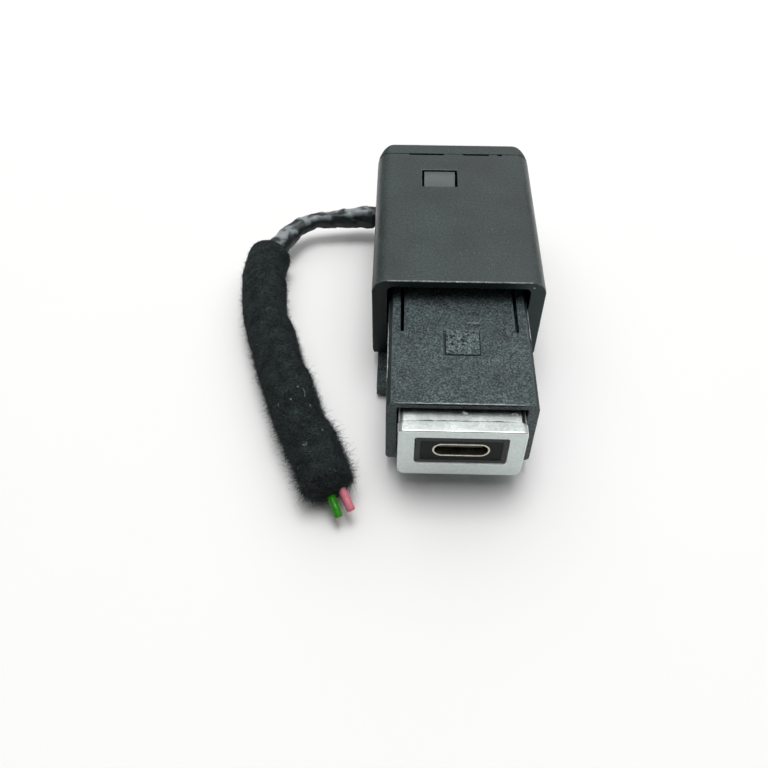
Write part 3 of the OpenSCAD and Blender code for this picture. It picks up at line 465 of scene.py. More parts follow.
class USB_SOCKET_OT_stage(bpy.types.Operator):
    """Make the floor, the soft light and the camera"""

    bl_idname = "usb_socket.stage"
    bl_label = "Stage"

    floor_gap = 0.02 * MM
    # Where the room changes in mirrors, as parts of a unit vector: from its walls to its ceiling, from the
    # camera's side to the middle, and from the left to the right.
    wall_to_ceiling = {"From Min": 0.1, "From Max": 0.6}
    front_to_middle = {"From Min": -0.7, "From Max": -0.15}
    left_to_right = {"From Min": -0.8, "From Max": 0.3}

    def execute(self, context):
        stage = context.scene.usb_stage
        context.scene.view_settings.view_transform = "Standard"
        self.add_floor(context, stage)
        self.add_lamps(context, stage)
        self.add_room(context, stage)
        camera = bpy.data.objects.new("camera", bpy.data.cameras.new("camera"))
        camera.location = stage.camera_place
        camera.rotation_euler = (stage.camera_tilt, 0, stage.camera_turn)
        camera.data.lens = stage.camera_lens
        camera.data.clip_start = 1 * MM
        context.scene.collection.objects.link(camera)
        context.scene.camera = camera
        return {"FINISHED"}

    def add_floor(self, context, stage):
        """A wide plain floor just under the object."""
        half = stage.floor_width / 2
        mesh = bpy.data.meshes.new("floor")
        corners = [(-half, -half, 0), (half, -half, 0), (half, half, 0), (-half, half, 0)]
        mesh.from_pydata(corners, [], [range(4)])
        floor = bpy.data.objects.new("floor", mesh)
        floor.location.z = -self.floor_gap
        context.scene.collection.objects.link(floor)
        # Smooth white laminate: no grain at this distance, only a broad unevenness of gloss.
        laminate = finish("white laminate, matt", stage.floor_colour, clouds=(60, 0.004), grain=(8, 0.0005),
                          rough=(0.62, 0.7), shader={"Specular IOR Level": 0.02}, speckle=0)
        self.fade_far(laminate.node_tree, stage)
        mesh.materials.append(laminate)

    def fade_far(self, tree, stage):
        """Let the floor run into the white room well outside the object and its shadow."""
        end = next(node for node in tree.nodes if node.type == "OUTPUT_MATERIAL").inputs["Surface"]
        lit = end.links[0].from_socket
        place = add_node(tree, "TexCoord").outputs["Object"]
        away = add_node(tree, "VectorMath", {"operation": "LENGTH"}, {0: place})
        far = add_node(tree, "MapRange", SOFT_RAMP, {
            "Value": away.outputs["Value"], "From Min": stage.fade_from, "From Max": stage.fade_to})
        seen = add_node(tree, "Math", PRODUCT, {
            0: far, 1: add_node(tree, "LightPath").outputs["Is Camera Ray"]})
        white = add_node(tree, "Emission", inputs={"Color": WHITE, "Strength": 1.0})
        both = add_node(tree, "MixShader", inputs={0: seen, 1: lit, 2: white})
        tree.links.new(both.outputs[0], end)

    def add_lamp(self, context, stage, name, width, lean, watts):
        """A round area lamp that leans back from the zenith and faces the object."""
        lamp = bpy.data.lights.new(name, "AREA")
        lamp.shape = "DISK"
        lamp.size = width
        lamp.energy = watts
        holder = bpy.data.objects.new(name, lamp)
        turn = Euler((-lean, 0, -stage.lamp_side))
        holder.rotation_euler = turn
        holder.location = turn.to_matrix() @ Vector((0, 0, stage.lamp_distance))
        holder.visible_camera = False
        context.scene.collection.objects.link(holder)
        return holder

    def add_lamps(self, context, stage):
        """A wide softbox and a small lamp above."""
        softbox = self.add_lamp(context, stage, "softbox", stage.softbox_width, stage.softbox_lean,
                                stage.softbox_power)
        # The softbox's cloth is as pale as the room behind it, so mirrors show the room alone.
        softbox.visible_glossy = False
        self.add_lamp(context, stage, "ceiling lamp", stage.ceiling_width, stage.ceiling_lean,
                      stage.ceiling_power)

    def add_room(self, context, stage):
        """A room that is white behind the object, dim as a light, and uneven in mirrors."""
        world = bpy.data.worlds.new("room")
        context.scene.world = world
        world.use_nodes = True
        tree = world.node_tree
        tree.nodes.clear()
        ray = add_node(tree, "LightPath")
        way = add_node(tree, "TexCoord").outputs["Generated"]
        axes = add_node(tree, "SeparateXYZ", inputs={"Vector": way})
        # In mirrors it is pale above and greyer at the walls.
        pale = add_node(tree, "MapRange", SOFT_RAMP, {
            "Value": axes.outputs["Z"], **self.wall_to_ceiling, "To Min": stage.walls,
            "To Max": stage.ceiling})
        # It is darker on the camera's side, which draws a thin dark line along polished edges.
        shade = add_node(tree, "MapRange", SOFT_RAMP, {
            "Value": axes.outputs["Y"], **self.front_to_middle, "To Min": stage.front, "To Max": 1.0})
        # It is darker to the left as well, which draws the housing's left rounding as a dark band.
        side = add_node(tree, "MapRange", inputs={
            "Value": axes.outputs["X"], **self.left_to_right, "To Min": stage.left, "To Max": stage.right})
        behind = add_node(tree, "Math", PRODUCT, {0: pale, 1: shade})
        bright = add_node(tree, "Math", PRODUCT, {0: behind, 1: side})
        dim = add_node(tree, "Background", inputs={"Color": WHITE, "Strength": stage.sky})
        room = add_node(tree, "Background", inputs={"Color": WHITE, "Strength": bright})
        white = add_node(tree, "Background", inputs={"Color": WHITE, "Strength": 1.0})
        lit = add_node(tree, "MixShader", inputs={0: ray.outputs["Is Glossy Ray"], 1: dim, 2: room})
        seen = add_node(tree, "MixShader", inputs={0: ray.outputs["Is Camera Ray"], 1: lit, 2: white})
        add_node(tree, "OutputWorld", inputs={"Surface": seen})


class USB_SOCKET_OT_fleece_sleeve(bpy.types.Operator):
    """Wind the fleece tape round the lead and put loose fibres on it"""

    bl_idname = "usb_socket.fleece_sleeve"
    bl_label = "Fleece sleeve"

    sides = 72
    # Distance along the sleeve at which the tape's edge crosses the right-hand side, the part of a turn over
    # which that edge rises, and the share of the edge's height that lies under the sleeve's mean surface.
    wrap_at = 38.9 * MM
    edge_rise = 0.025
    edge_sunk = 0.6
    # The tape's edge stands off most on the inner side of the bend, to the right: the angle over which it
    # does, and the share of its height all round.
    slack_angle = 0.7
    slack_least = 0.12
    # The soft rounding of the sleeve's two ends, the share of the radius that is left there, and how far the
    # cut end bulges.
    start_round, start_share = 2.6 * MM, 0.5
    end_round, end_share = 0.9 * MM, 0.8
    end_bulge = 0.8 * MM
    end_rings = (0.85, 0.65, 0.45, 0.25, 0.1)
    # How many rings the way ahead at the cut end is taken over, for the end itself and for its fibres.
    end_way, fibre_way = 5, 7
    # Hills and tufts in the fleece, and the height of its flattened underside.
    hill, hill_height = 3.4 * MM, 0.15 * MM
    tuft, tuft_height = 0.8 * MM, 0.13 * MM
    underside = 0.06 * MM
    # Loose fibres: the form of their spread along the sleeve, and the share of its length that they reach.
    along_form, along_most = (1.3, 0.9), 0.999
    # Shares of those at the right-hand side and at both sides, and how far their angles spread there. The
    # rest lie on top, clear of the two sides by an angle, and rise little; some of them are pale.
    right_share, both_sides = 0.45, 0.72
    right_spread, left_spread = 0.5, 0.45
    top_clear = 0.1
    lying_rise = 0.25
    pale_share = 0.006
    # How a fibre strays from its way out, and what those on the last rings add ahead.
    stray = 0.6
    end_rows, end_lean = 6, 0.9
    # Lengths as shares of a common fibre's: at the sleeve's start, what is added up to its cut end and how
    # late, and how single fibres differ.
    length_start, length_more, length_power = 0.4, 0.8, 1.5
    length_mean, length_spread, length_range = -0.45, 0.6, (0.2, 2.2)
    # A fibre's ribbon: its points, curl and twirl, how deep it is rooted and how narrow its tip is.
    fibre_steps = 5
    curl_range, twirl_range = (0.2, 1.1), (-0.6, 0.6)
    root_depth, tip_width = 0.1, 0.4
    # A crumb of lint: how high up it lies, as a share of the sleeve's diameter, its ribbons, how far they
    # scatter, how flat they lie, their lengths and their widths.
    crumb_above = 0.7
    crumb_ribbons, crumb_scatter = 9, 0.07 * MM
    crumb_flat = (1, 1, 0.4)
    crumb_sizes = ((0.1, 0.35), (0.05, 0.14))
    # Crumbs of lint on the fleece, in millimetres from the middle and from the bezel's face.
    lint_places = ((-26.8, 13.5), (-24.5, 10.3), (-27.6, 10.7), (-21.7, 4.8), (-24.6, 1.9), (-24.2, 1.6))

    def execute(self, context):
        lead = context.scene.usb_lead
        line, along = smooth_route(lead_points()[1], RING_STEP)
        kept = (along >= lead.sleeve_skip) & (along <= along[-1] - lead.sleeve_cut)
        rings = self.wound_rings(lead, line[kept], along[kept])
        # Polyester needle fleece: dull black felt that takes no highlight, with paler clouds of raised fibre.
        felt = finish("polyester needle fleece tape, wound", lead.fleece, clouds=(2.2, 0.65), grain=(0.3, 0.12),
                      rough=(0.86, 0.97), shader={"Specular IOR Level": 0.2}, speckle=0.8)
        mesh = ring_mesh("sleeve", self.closed_end(rings))
        add_piece("sleeve", mesh, [felt], ["fleece_sleeve"])
        # Single fibres: about three times as thick as real ones, so that they show in the render.
        hair = finish("polyester fleece fibre, raised", lead.fibre, clouds=(1.8, 0.4), grain=(0.3, 0.001),
                      rough=(0.6, 0.8), shader={"Specular IOR Level": 0.35})
        # Cotton lint: a few pale threads and crumbs caught in the black fleece.
        lint = finish("cotton lint, caught", lead.lint, clouds=(0.6, 0.25), grain=(0.1, 0.001),
                      rough=(0.8, 0.95))
        add_piece("sleeve_fuzz", self.fuzz_mesh(lead, rings), [hair, lint])
        return {"FINISHED"}

    def closed_end(self, rings):
        """The rings and the sleeve's cut end, over which the fleece is bunched in smaller rings."""
        heart = rings[-1].mean(0)
        ahead = unit_rows(heart - rings[-1 - self.end_way].mean(0))
        shares = np.array(self.end_rings)[:, None, None]
        inner = heart + (rings[-1] - heart)[None] * shares
        inner += ahead * self.end_bulge * (1 - shares ** 2)
        inner += ahead * ripple(inner, self.tuft, 2 * self.tuft_height)[..., None]
        return np.concatenate([rings, inner])

    def wound_rings(self, lead, line, along):
        """Rings of the sleeve's surface: overlapping turns of tape, hills, soft ends, flat underside."""
        turn = np.linspace(0, 2 * np.pi, self.sides, endpoint=False)
        turns = (along[:, None] - self.wrap_at) / lead.wrap_pitch - (turn[None] - np.pi) / (2 * np.pi)
        inner_side = np.exp(-((turn - np.pi) / self.slack_angle) ** 2)
        slack = self.slack_least + (1 - self.slack_least) * inner_side
        step = lead.wrap_step * slack[None] * (sawtooth(turns, self.edge_rise) - self.edge_sunk)
        radii = lead.sleeve_d / 2 + step
        round_surface = swept_points(line, radii)
        radii += ripple(round_surface, self.hill, self.hill_height)
        radii += ripple(round_surface, self.tuft, self.tuft_height)
        for edge, rounding, share in ((along - along[0], self.start_round, self.start_share),
                                      (along[-1] - along, self.end_round, self.end_share)):
            inward = np.clip(1 - edge / rounding, 0, 1)
            radii *= (share + (1 - share) * np.sqrt(1 - inward ** 2))[:, None]
        rings = swept_points(line, radii)
        rings[..., 2] = np.maximum(rings[..., 2], self.underside)
        return rings

    def fuzz_mesh(self, lead, rings):
        """Loose fibres rooted in the sleeve's surface, a few of them pale, and crumbs of lint."""
        rng = np.random.default_rng(SEED)
        count = lead.fuzz_count
        # They are a little denser towards the cut end.
        way = np.clip(rng.beta(*self.along_form, count), 0, self.along_most)
        row = (way * (len(rings) - 1)).astype(int)
        # Most fibres stand out low at the two sides, where the tape rubs on what it lies on; the rest lie
        # flat on the upper side.
        kind = rng.random(count)
        turn = np.where(kind < self.right_share, rng.normal(np.pi, self.right_spread, count),
                        rng.normal(0.0, self.left_spread, count))
        lying = kind > self.both_sides
        turn = np.where(lying, rng.uniform(self.top_clear, np.pi - self.top_clear, count), turn)
        column = np.floor(turn / (2 * np.pi) * self.sides).astype(int) % self.sides
        root = rings[row, column]
        outward = unit_rows(root - rings.mean(1)[row])
        # The last rings are the cut end, from which fibres also point ahead.
        ahead = unit_rows(rings[-1].mean(0) - rings[-1 - self.fibre_way].mean(0))
        outward += np.where(row > len(rings) - self.end_rows, self.end_lean, 0.0)[:, None] * ahead
        rise = np.where(lying, self.lying_rise, 1.0)[:, None]
        aim = unit_rows(outward * rise + rng.normal(0, self.stray, (count, 3)))
        # The fuzz is short where the sleeve starts and longest at its cut end.
        common = lead.fuzz_length * (self.length_start + self.length_more * way ** self.length_power)
        stretch = rng.lognormal(self.length_mean, self.length_spread, count)
        reach = common * np.clip(stretch, *self.length_range)
        pale = lying & (rng.random(count) < self.pale_share)
        fibres = self.ribbons(rng, root, aim, reach, np.full(count, lead.fuzz_d))
        crumbs = self.lint_crumbs(rng, lead, rings)
        points = np.concatenate([fibres, crumbs])
        steps = self.fibre_steps
        first = (np.arange(len(points))[:, None] * steps + np.arange(steps - 1)[None]).reshape(-1) * 2
        faces = np.stack([first, first + 1, first + 3, first + 2], axis=1)
        mesh = bpy.data.meshes.new("sleeve_fuzz")
        mesh.from_pydata(points.reshape(-1, 3).tolist(), [], faces.tolist(), shade_flat=False)
        is_lint = np.concatenate([pale, np.ones(len(crumbs), bool)])
        mesh.polygons.foreach_set("material_index", np.repeat(is_lint, steps - 1).astype(np.int32))
        return mesh

    def ribbons(self, rng, root, aim, reach, width):
        """Corner points of narrow ribbons that curl as they leave their roots."""
        count, steps = len(root), self.fibre_steps
        curl = unit_rows(np.cross(aim, rng.normal(0, 1, (count, 3))))
        curl *= rng.uniform(*self.curl_range, (count, 1))
        twirl = np.cross(aim, curl) * rng.uniform(*self.twirl_range, (count, 1))
        across = unit_rows(np.cross(aim, rng.normal(0, 1, (count, 3)))) * width[:, None] / 2
        bends = [aim * t + curl * t * t + twirl * t ** 3 for t in np.linspace(-self.root_depth, 1, steps)]
        middle = root[:, None] + reach[:, None, None] * np.stack(bends, axis=1)
        middle[..., 2] = np.maximum(middle[..., 2], self.underside / 2)
        half = across[:, None] * np.linspace(1, self.tip_width, steps)[None, :, None]
        return np.stack([middle - half, middle + half], axis=2)

    def lint_crumbs(self, rng, lead, rings):
        """Small knots of short, broad ribbons on top of the fleece."""
        surface = rings.reshape(-1, 3)
        upper = surface[surface[:, 2] > lead.sleeve_d * self.crumb_above]
        spots = [np.array((x * MM, FACE_Y + y * MM)) for x, y in self.lint_places]
        on = np.array([upper[np.argmin(np.linalg.norm(upper[:, :2] - spot, axis=1))] for spot in spots])
        root = np.repeat(on, self.crumb_ribbons, axis=0)
        root += rng.normal(0, self.crumb_scatter, root.shape)
        aim = unit_rows(rng.normal(0, 1, root.shape) * self.crumb_flat)
        reach, width = (rng.uniform(low, high, len(root)) * MM for low, high in self.crumb_sizes)
        return self.ribbons(rng, root, aim, reach, width)


class USB_SOCKET_OT_wire_tails(bpy.types.Operator):
    """Make the two cut wires that show at the sleeve's end"""

    bl_idname = "usb_socket.wire_tails"
    bl_label = "Cut wires"

    ring_step = 0.16 * MM
    sides = 22
    # Unevenness of the insulation: how long its waves are and how high.
    wave, wave_height = 1.1 * MM, 0.02 * MM
    # The cut end: how much the insulation shrinks and over what length, the bore's share of its radius, and
    # the bore's depth.
    shrink, shrink_length = 0.08, 0.14 * MM
    bore_share = 0.55
    bore_depth = 0.25 * MM
    # Copper strands, six round one: how many of a strand's radii the bore's radius holds, with a little room,
    # the number of sides, and how far behind the cut each ring lies, with its share of a strand.
    strand_fit = 3.1
    strand_sides = 8
    strand_rings = ((0.24 * MM, 0.97), (0.07 * MM, 0.97), (0.03 * MM, 0.7))

    def execute(self, context):
        lead = context.scene.usb_lead
        end = np.array(lead_points()[1][-1])
        # Bare copper: bright where cut, each strand a small round end.
        copper = finish("bare copper, cut", context.scene.usb_metals.copper, clouds=(0.4, 0.12),
                        grain=(0.1, 0.004), rough=(0.22, 0.4), shader=METAL)
        for name, steps, tint in (("green_tail", GREEN_STEPS, lead.green),
                                  ("pink_tail", PINK_STEPS, lead.pink)):
            # Extruded PVC: even colour, a soft gloss along the wire, a faint unevenness from the die.
            skin = finish(f"{name.split('_')[0]} PVC insulation, extruded", tint, clouds=(1.5, 0.1),
                          grain=(0.3, 0.01), rough=(0.2, 0.32), shader={"Specular IOR Level": 0.3})
            points = [end + np.array(step) / 100 * lead.sleeve_d for step in steps]
            self.add_wire(lead, f"{name}_wire", points, skin, copper, name)
        return {"FINISHED"}

    def add_wire(self, lead, name, points, skin, copper, node):
        """One wire: insulation with a bore in its cut end, and the strands in it."""
        line, along = smooth_route(points, self.ring_step)
        radii = np.full((len(line), self.sides), lead.wire_d / 2)
        radii += ripple(swept_points(line, radii), self.wave, self.wave_height)
        radii *= (1 - self.shrink * np.exp((along - along[-1]) / self.shrink_length))[:, None]
        rings = swept_points(line, radii)
        middle = rings[-1].mean(0)
        ahead = cross_axes(line)[0][-1]
        lip = middle + (rings[-1] - middle) * self.bore_share
        mesh = ring_mesh(name, np.concatenate([rings, lip[None], lip[None] - ahead * self.bore_depth]))
        shape = bmesh.new()
        shape.from_mesh(mesh)
        self.add_strands(shape, middle, ahead, np.linalg.norm(lip - middle, axis=1).min())
        shape.to_mesh(mesh)
        shape.free()
        add_piece(name, mesh, [skin, copper], [node])

    def add_strands(self, shape, middle, ahead, bore):
        """Seven copper strands, cut a little back from the insulation's end."""
        across = Vector(ahead).orthogonal().normalized()
        over = Vector(ahead).cross(across).normalized()
        strand = bore / self.strand_fit
        turns = np.linspace(0, 2 * np.pi, self.strand_sides, endpoint=False)
        for k in range(7):
            off = 2 * strand if k else 0
            a = k * math.pi / 3
            heart = Vector(middle) + (across * math.cos(a) + over * math.sin(a)) * off
            loops = [[shape.verts.new(heart - Vector(ahead) * back
                                      + (across * math.cos(b) + over * math.sin(b)) * strand * size)
                      for b in turns] for back, size in self.strand_rings]
            for low, high in zip(loops, loops[1:]):
                for i in range(self.strand_sides):
                    face = shape.faces.new((low[i - 1], low[i], high[i], high[i - 1]))
                    face.material_index = 1
                    face.smooth = True
            for end in (loops[-1], loops[0][::-1]):
                shape.faces.new(end).material_index = 1


class USB_SOCKET_OT_taped_lead(bpy.types.Operator):
    bl_idname = "usb_socket.taped_lead"
    bl_label = "Taped lead"

    sides = 36
    # Two round wires lie twisted under the tape, so the section is a little longer one way: shares of the
    # radius, the angle at which the twist starts, and the part of a turn over which the tape's edge rises.
    mean_share, lobe_share = 1.03, 0.035
    twist_start = 0.9
    edge_rise = 0.05
    # Just outside the housing the tape is wound thicker: the lengths over which that starts and ends, what is
    # added all round, and how far up the sides the swell of the underside reaches.
    swell_rise, swell_end = 1.2 * MM, 13 * MM
    swell_round = 0.2 * MM
    swell_up = 0.25
    # Where the lead enters the sleeve it widens, most on the inner side of the bend, where the tape is bunched.
    funnel_ahead, funnel_length = 1.0 * MM, 7 * MM
    funnel_lean = 0.35
    # Creases in the tape: how long they are and how high.
    creases = ((2.6 * MM, 0.1 * MM), (1.1 * MM, 0.07 * MM))

    def execute(self, context):
        lead = context.scene.usb_lead
        free, sleeve = lead_points()
        line, along = smooth_route(free + sleeve[1:], RING_STEP)
        kept = along <= along[-1] - lead.sleeve_cut - lead.short
        line, along = line[kept], along[kept]
        turn = np.linspace(0, 2 * np.pi, self.sides, endpoint=False)
        lobes = np.cos(2 * (turn[None] - 2 * np.pi * (along[:, None] / lead.twist) - self.twist_start))
        tape = sawtooth(along[:, None] / lead.tape_pitch + turn[None] / (2 * np.pi), self.edge_rise)
        radii = lead.lead_d / 2 * (self.mean_share + self.lobe_share * lobes) + lead.tape_step * (tape - 0.5)
        outside = along - lead.inside
        near = np.clip(outside / self.swell_rise, 0, 1) * np.clip(1 - outside / self.swell_end, 0, 1)
        under = np.clip(self.swell_up - np.sin(turn), 0, None) / (1 + self.swell_up)
        radii += near[:, None] * (lead.swell * under[None] + self.swell_round)
        entry = smooth_route(free, RING_STEP)[1][-1]
        mouth = np.exp(-((along - entry - self.funnel_ahead) / self.funnel_length) ** 2)
        radii += mouth[:, None] * lead.funnel * (1 - self.funnel_lean * np.cos(turn))[None]
        surface = swept_points(line, radii)
        for size, height in self.creases:
            radii += ripple(surface, size, height)
        mesh = ring_mesh("lead", swept_points(line, radii))
        piece = add_piece("lead", mesh, [self.stretched_tape(lead)], ["taped_lead"])
        return {"FINISHED"}

    def stretched_tape(self, lead):
        """Soft PVC tape: black, with pale creased patches where stretched over the wires, painted on top as
        sheen.
        """
        material, tree = new_material("soft PVC tape, wound and stretched")
        place = add_node(tree, "TexCoord").outputs["Object"]
        # The patches are drawn out along the lead, which leaves the housing along X.
        drawn = add_node(tree, "VectorMath", PRODUCT, {0: place, 1: (0.6, 1.0, 1.0)})
        creases = add_node(tree, "TexNoise", inputs={
            "Vector": drawn, "Scale": per_metre(2.1), "Detail": 2.0, "Roughness": 0.45, "Distortion": 0.5})
        film = add_node(tree, "MapRange", SOFT_RAMP, {"Value": creases, "From Min": 0.36, "From Max": 0.62})
        # Painted sheen: only faces that look up take the pale patches.
        facing = add_node(tree, "SeparateXYZ", inputs={
            "Vector": add_node(tree, "NewGeometry").outputs["Normal"]})
        upper = add_node(tree, "MapRange", SOFT_RAMP, {
            "Value": facing.outputs["Z"], "From Min": 0.35, "From Max": 0.85})
        share = add_node(tree, "Math", PRODUCT, {0: film, 1: upper})
        tint = add_node(tree, "Mix", COLOUR_MIX, {
            SHARE: share, FIRST: rgba(lead.tape), SECOND: rgba(lead.film)})
        gloss = add_node(tree, "MapRange", inputs={"Value": film, "To Min": 0.5, "To Max": 0.26})
        relief = add_node(tree, "Bump", inputs={"Height": creases, "Distance": 0.12 * MM, "Strength": 1.0})
        surface = add_node(tree, "BsdfPrincipled", inputs={
            "Base Color": tint.outputs[MIXED], "Roughness": gloss, "Normal": relief,
            "Specular IOR Level": 0.35})
        add_node(tree, "OutputMaterial", inputs={"Surface": surface})
        return material


class USB_SOCKET_OT_wire_housing(bpy.types.Operator):
    """Finish the wire connector's housing and its rear cap"""

    bl_idname = "usb_socket.wire_housing"
    bl_label = "Wire housing"

    # Painted light: the rim's face is drawn paler towards the right, between these distances from the middle,
    # up to this many times.
    rubbed_from, rubbed_to = 7 * MM, 12 * MM
    rubbed = 3.0
    # How far a face of the rim looks ahead, at least, to belong to the rim's rounding and to its front, and how
    # far up, at least, and ahead, at most, to belong to its pale upper edge, a painted highlight.
    rounding_ahead, front_ahead = 0.1, 0.96
    scuffed_up, scuffed_ahead = 0.25, 0.9

    def execute(self, context):
        plastics = context.scene.usb_plastics
        base = plastics.housing
        # Satin PBT from a fine-blasted mould: a broad grey sheen over black, slightly cloudy from flow.
        satin = finish("PBT, moulded satin", base, clouds=(9.5, 0.34), grain=(0.36, 0.06), rough=(0.27, 0.41),
                       shader={"IOR": 1.52}, speckle=0.7)
        # The same where edges have been rubbed smooth by handling, 2.6 times paler, which also paints a
        # highlight along them.
        worn = finish("PBT, edge rubbed smooth", shaded(base, 2.6), clouds=(1.2, 0.4), grain=(0.25, 0.004),
                      rough=(0.22, 0.34), shader={"IOR": 1.56})
        # The rim's upper edge is drawn pale, partly rubbed where the socket is pushed in and partly a painted
        # highlight line, and its front face is smooth and drawn darker as painted shade.
        scuffed = finish("PBT, edge scuffed pale", plastics.scuff, clouds=(0.9, 0.7), grain=(0.2, 0.01),
                         rough=(0.35, 0.5), speckle=0.5)
        # Painted shade: the rim's front face is drawn at 0.75 of the housing's colour.
        smooth = finish("PBT, moulded smooth", shaded(base, 0.75), clouds=(3, 0.2), grain=(0.3, 0.01),
                        rough=(0.4, 0.5), shader={"Specular IOR Level": 0.3})
        self.shade_rim(smooth.node_tree)
        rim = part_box("rear_housing")[0].y + plastics.rim_round

        def rim_face(face):
            """Which finish a face has: satin, paler rounding, pale upper edge with painted highlight, or the
            rim's smooth front with painted shade.
            """
            ahead, up = -face.normal.y, face.normal.z
            if face.calc_center_median().y > rim or ahead < self.rounding_ahead:
                return 0
            if ahead > self.front_ahead:
                return 3
            return 2 if up > self.scuffed_up and ahead < self.scuffed_ahead else 1

        for node in ("rear_housing", "rear_cap"):
            round_edges(node, f"{node}_shell", plastics.housing_edge, [satin, worn, scuffed, smooth],
                        sort_faces=rim_face)
        return {"FINISHED"}

    def shade_rim(self, tree):
        """Paint light on the rim's face: paler towards the right, where the light falls."""
        surface = next(node for node in tree.nodes if node.type == "BSDF_PRINCIPLED").inputs["Base Color"]
        axes = add_node(tree, "SeparateXYZ", inputs={"Vector": add_node(tree, "TexCoord").outputs["Object"]})
        right = add_node(tree, "MapRange", inputs={
            "Value": axes.outputs["X"], "From Min": self.rubbed_from, "From Max": self.rubbed_to,
            "To Min": 1.0, "To Max": self.rubbed})
        tint = add_node(tree, "Mix", COLOUR_PRODUCT, {
            SHARE: 1.0, FIRST: surface.links[0].from_socket, SECOND: right})
        tree.links.new(tint.outputs[MIXED], surface)


class USB_SOCKET_OT_socket_body(bpy.types.Operator):
    """Finish the socket body, with the hammered thumb pad on its latch panel"""

    bl_idname = "usb_socket.socket_body"
    bl_label = "Socket body"

    # The thumb pad's recess in the body's top face, in millimetres from the middle and from the bezel's
    # face, and the height of its floor, as in the part's source.
    pad_low = (-2.7, 14.0)
    pad_high = (3.2, 19.4)
    pad_floor = 16.01
    # The ledges along the upper edges lie outside this distance from the middle and above this height.
    ledge_from = 11.5
    ledge_above = 14.0
    # How far a level face looks up, and how far the slopes look to the side and, at least, up.
    level_up = 0.99
    slope_side, slope_up = (0.75, 0.97), 0.2
    same_height = 0.02 * MM
    # The groove round the pad: its width at the left, front, right and back.
    groove = (0.3, 0.08, 0.12, 0.14)
    # The pad's points, the size of its hammered grain and its gap above the recess's floor.
    pad_step = 0.075
    pad_grain = 0.55 * MM
    pad_gap = 0.005 * MM
    # Edges of the body that are shorter than this are drawn together before rounding.
    crumb = 0.03 * MM

    def execute(self, context):
        plastics = context.scene.usb_plastics
        base = plastics.body
        # Glass-filled nylon from a spark-eroded mould: sandy dark grey, glinting on the grain's crests.
        sandy = self.sandy_nylon(base, plastics.crests)
        # The same where edges and ledges have been rubbed smooth by handling, 1.6 times paler, which also
        # paints a highlight along them.
        worn = finish("glass-filled nylon, edge rubbed smooth", shaded(base, 1.6), clouds=(0.9, 0.4),
                      grain=(0.3, 0.006), rough=(0.28, 0.42))
        # The slopes beside the top face come from the mould's slides: smooth, and drawn at 0.35 of the body's
        # colour as painted shade.
        smooth = finish("glass-filled nylon, polished slide", shaded(base, 0.35), clouds=(1.6, 0.3),
                        grain=(0.3, 0.01), rough=(0.5, 0.6), shader={"Specular IOR Level": 0.2})
        # Painted shade: the groove round the pad is drawn almost black.
        grimy = finish("glass-filled nylon, grimy groove", shaded(base, 0.12), clouds=(0.8, 0.3),
                       grain=(0.2, 0.01), rough=(0.7, 0.85))
        round_edges("socket_body", "socket_body_shell", plastics.body_edge, [sandy, worn, smooth, grimy],
                    sort_faces=self.finish_of_face, crumb=self.crumb)
        # The pad's grain is rubbed a little smoother than the rest by thumbs.
        rubbed = finish("glass-filled nylon, hammered and rubbed", shaded(plastics.crests, 0.66),
                        clouds=(0.5, 0.9), grain=(0.25, 0.08), rough=(0.15, 0.25), shader={"IOR": 1.53},
                        speckle=0.4)
        self.add_pad(plastics, rubbed)
        return {"FINISHED"}

    def finish_of_face(self, face):
        """Which of the body's finishes a face has: sandy, rubbed with painted highlight, slope with painted
        shade, or groove with painted shade.
        """
        middle, normal = face.calc_center_median(), face.normal
        is_level = normal.z > self.level_up
        if is_level and abs(middle.z - self.pad_floor * MM) < self.same_height:
            return 3
        if self.slope_side[0] < abs(normal.x) < self.slope_side[1] and normal.z > self.slope_up:
            return 2
        on_ledge = abs(middle.x) > self.ledge_from * MM and middle.z > self.ledge_above * MM
        return 1 if is_level and on_ledge else 0

    def sandy_nylon(self, base, crests):
        """Spark-eroded grain of about 0.3 mm with a finer one on it, deeper than life so that it shows."""
        material, tree = new_material("glass-filled nylon, spark-eroded mould")
        place = add_node(tree, "TexCoord").outputs["Object"]
        coarse = add_node(tree, "TexNoise", inputs={
            "Vector": place, "Scale": per_metre(0.27), "Detail": 2.0, "Roughness": 0.6})
        patches = add_node(tree, "TexNoise", inputs={
            "Vector": place, "Scale": per_metre(4.5), "Detail": 2.0, "Roughness": 0.5})
        high = add_node(tree, "MapRange", inputs={"Value": coarse, "From Min": 0.42, "From Max": 0.66})
        tint = add_node(tree, "Mix", COLOUR_MIX, {
            SHARE: high, FIRST: rgba(shaded(base, 0.6)), SECOND: rgba(crests)})
        clouds = add_node(tree, "MapRange", inputs={
            "Value": patches, **CLOUD_SPAN, "To Min": 0.7, "To Max": 1.2})
        skin = add_node(tree, "Mix", COLOUR_PRODUCT, {SHARE: 1.0, FIRST: tint.outputs[MIXED], SECOND: clouds})
        gloss = add_node(tree, "MapRange", inputs={
            "Value": patches, **CLOUD_SPAN, "To Min": 0.24, "To Max": 0.34})
        relief = add_node(tree, "Bump", inputs={"Height": coarse, "Distance": 0.4 * MM, "Strength": 1.0})
        surface = add_node(tree, "BsdfPrincipled", inputs={
            "Base Color": skin.outputs[MIXED], "Roughness": gloss, "Normal": relief, "IOR": 1.53})
        add_node(tree, "OutputMaterial", inputs={"Surface": surface})
        return material

    def add_pad(self, plastics, material):
        """A plate of hammered grain in the pad's shallow recess, with a groove round it."""
        left, front, right, back = self.groove
        xs = np.arange(self.pad_low[0] + left, self.pad_high[0] - right, self.pad_step)[1:-1]
        ys = np.arange(self.pad_low[1] + front, self.pad_high[1] - back, self.pad_step)[1:-1]
        top = np.stack(np.meshgrid(xs, ys, [0.0], indexing="ij"), axis=-1)[:, :, 0] * MM
        heights = plastics.pad_height + ripple(top, self.pad_grain, plastics.pad_relief)
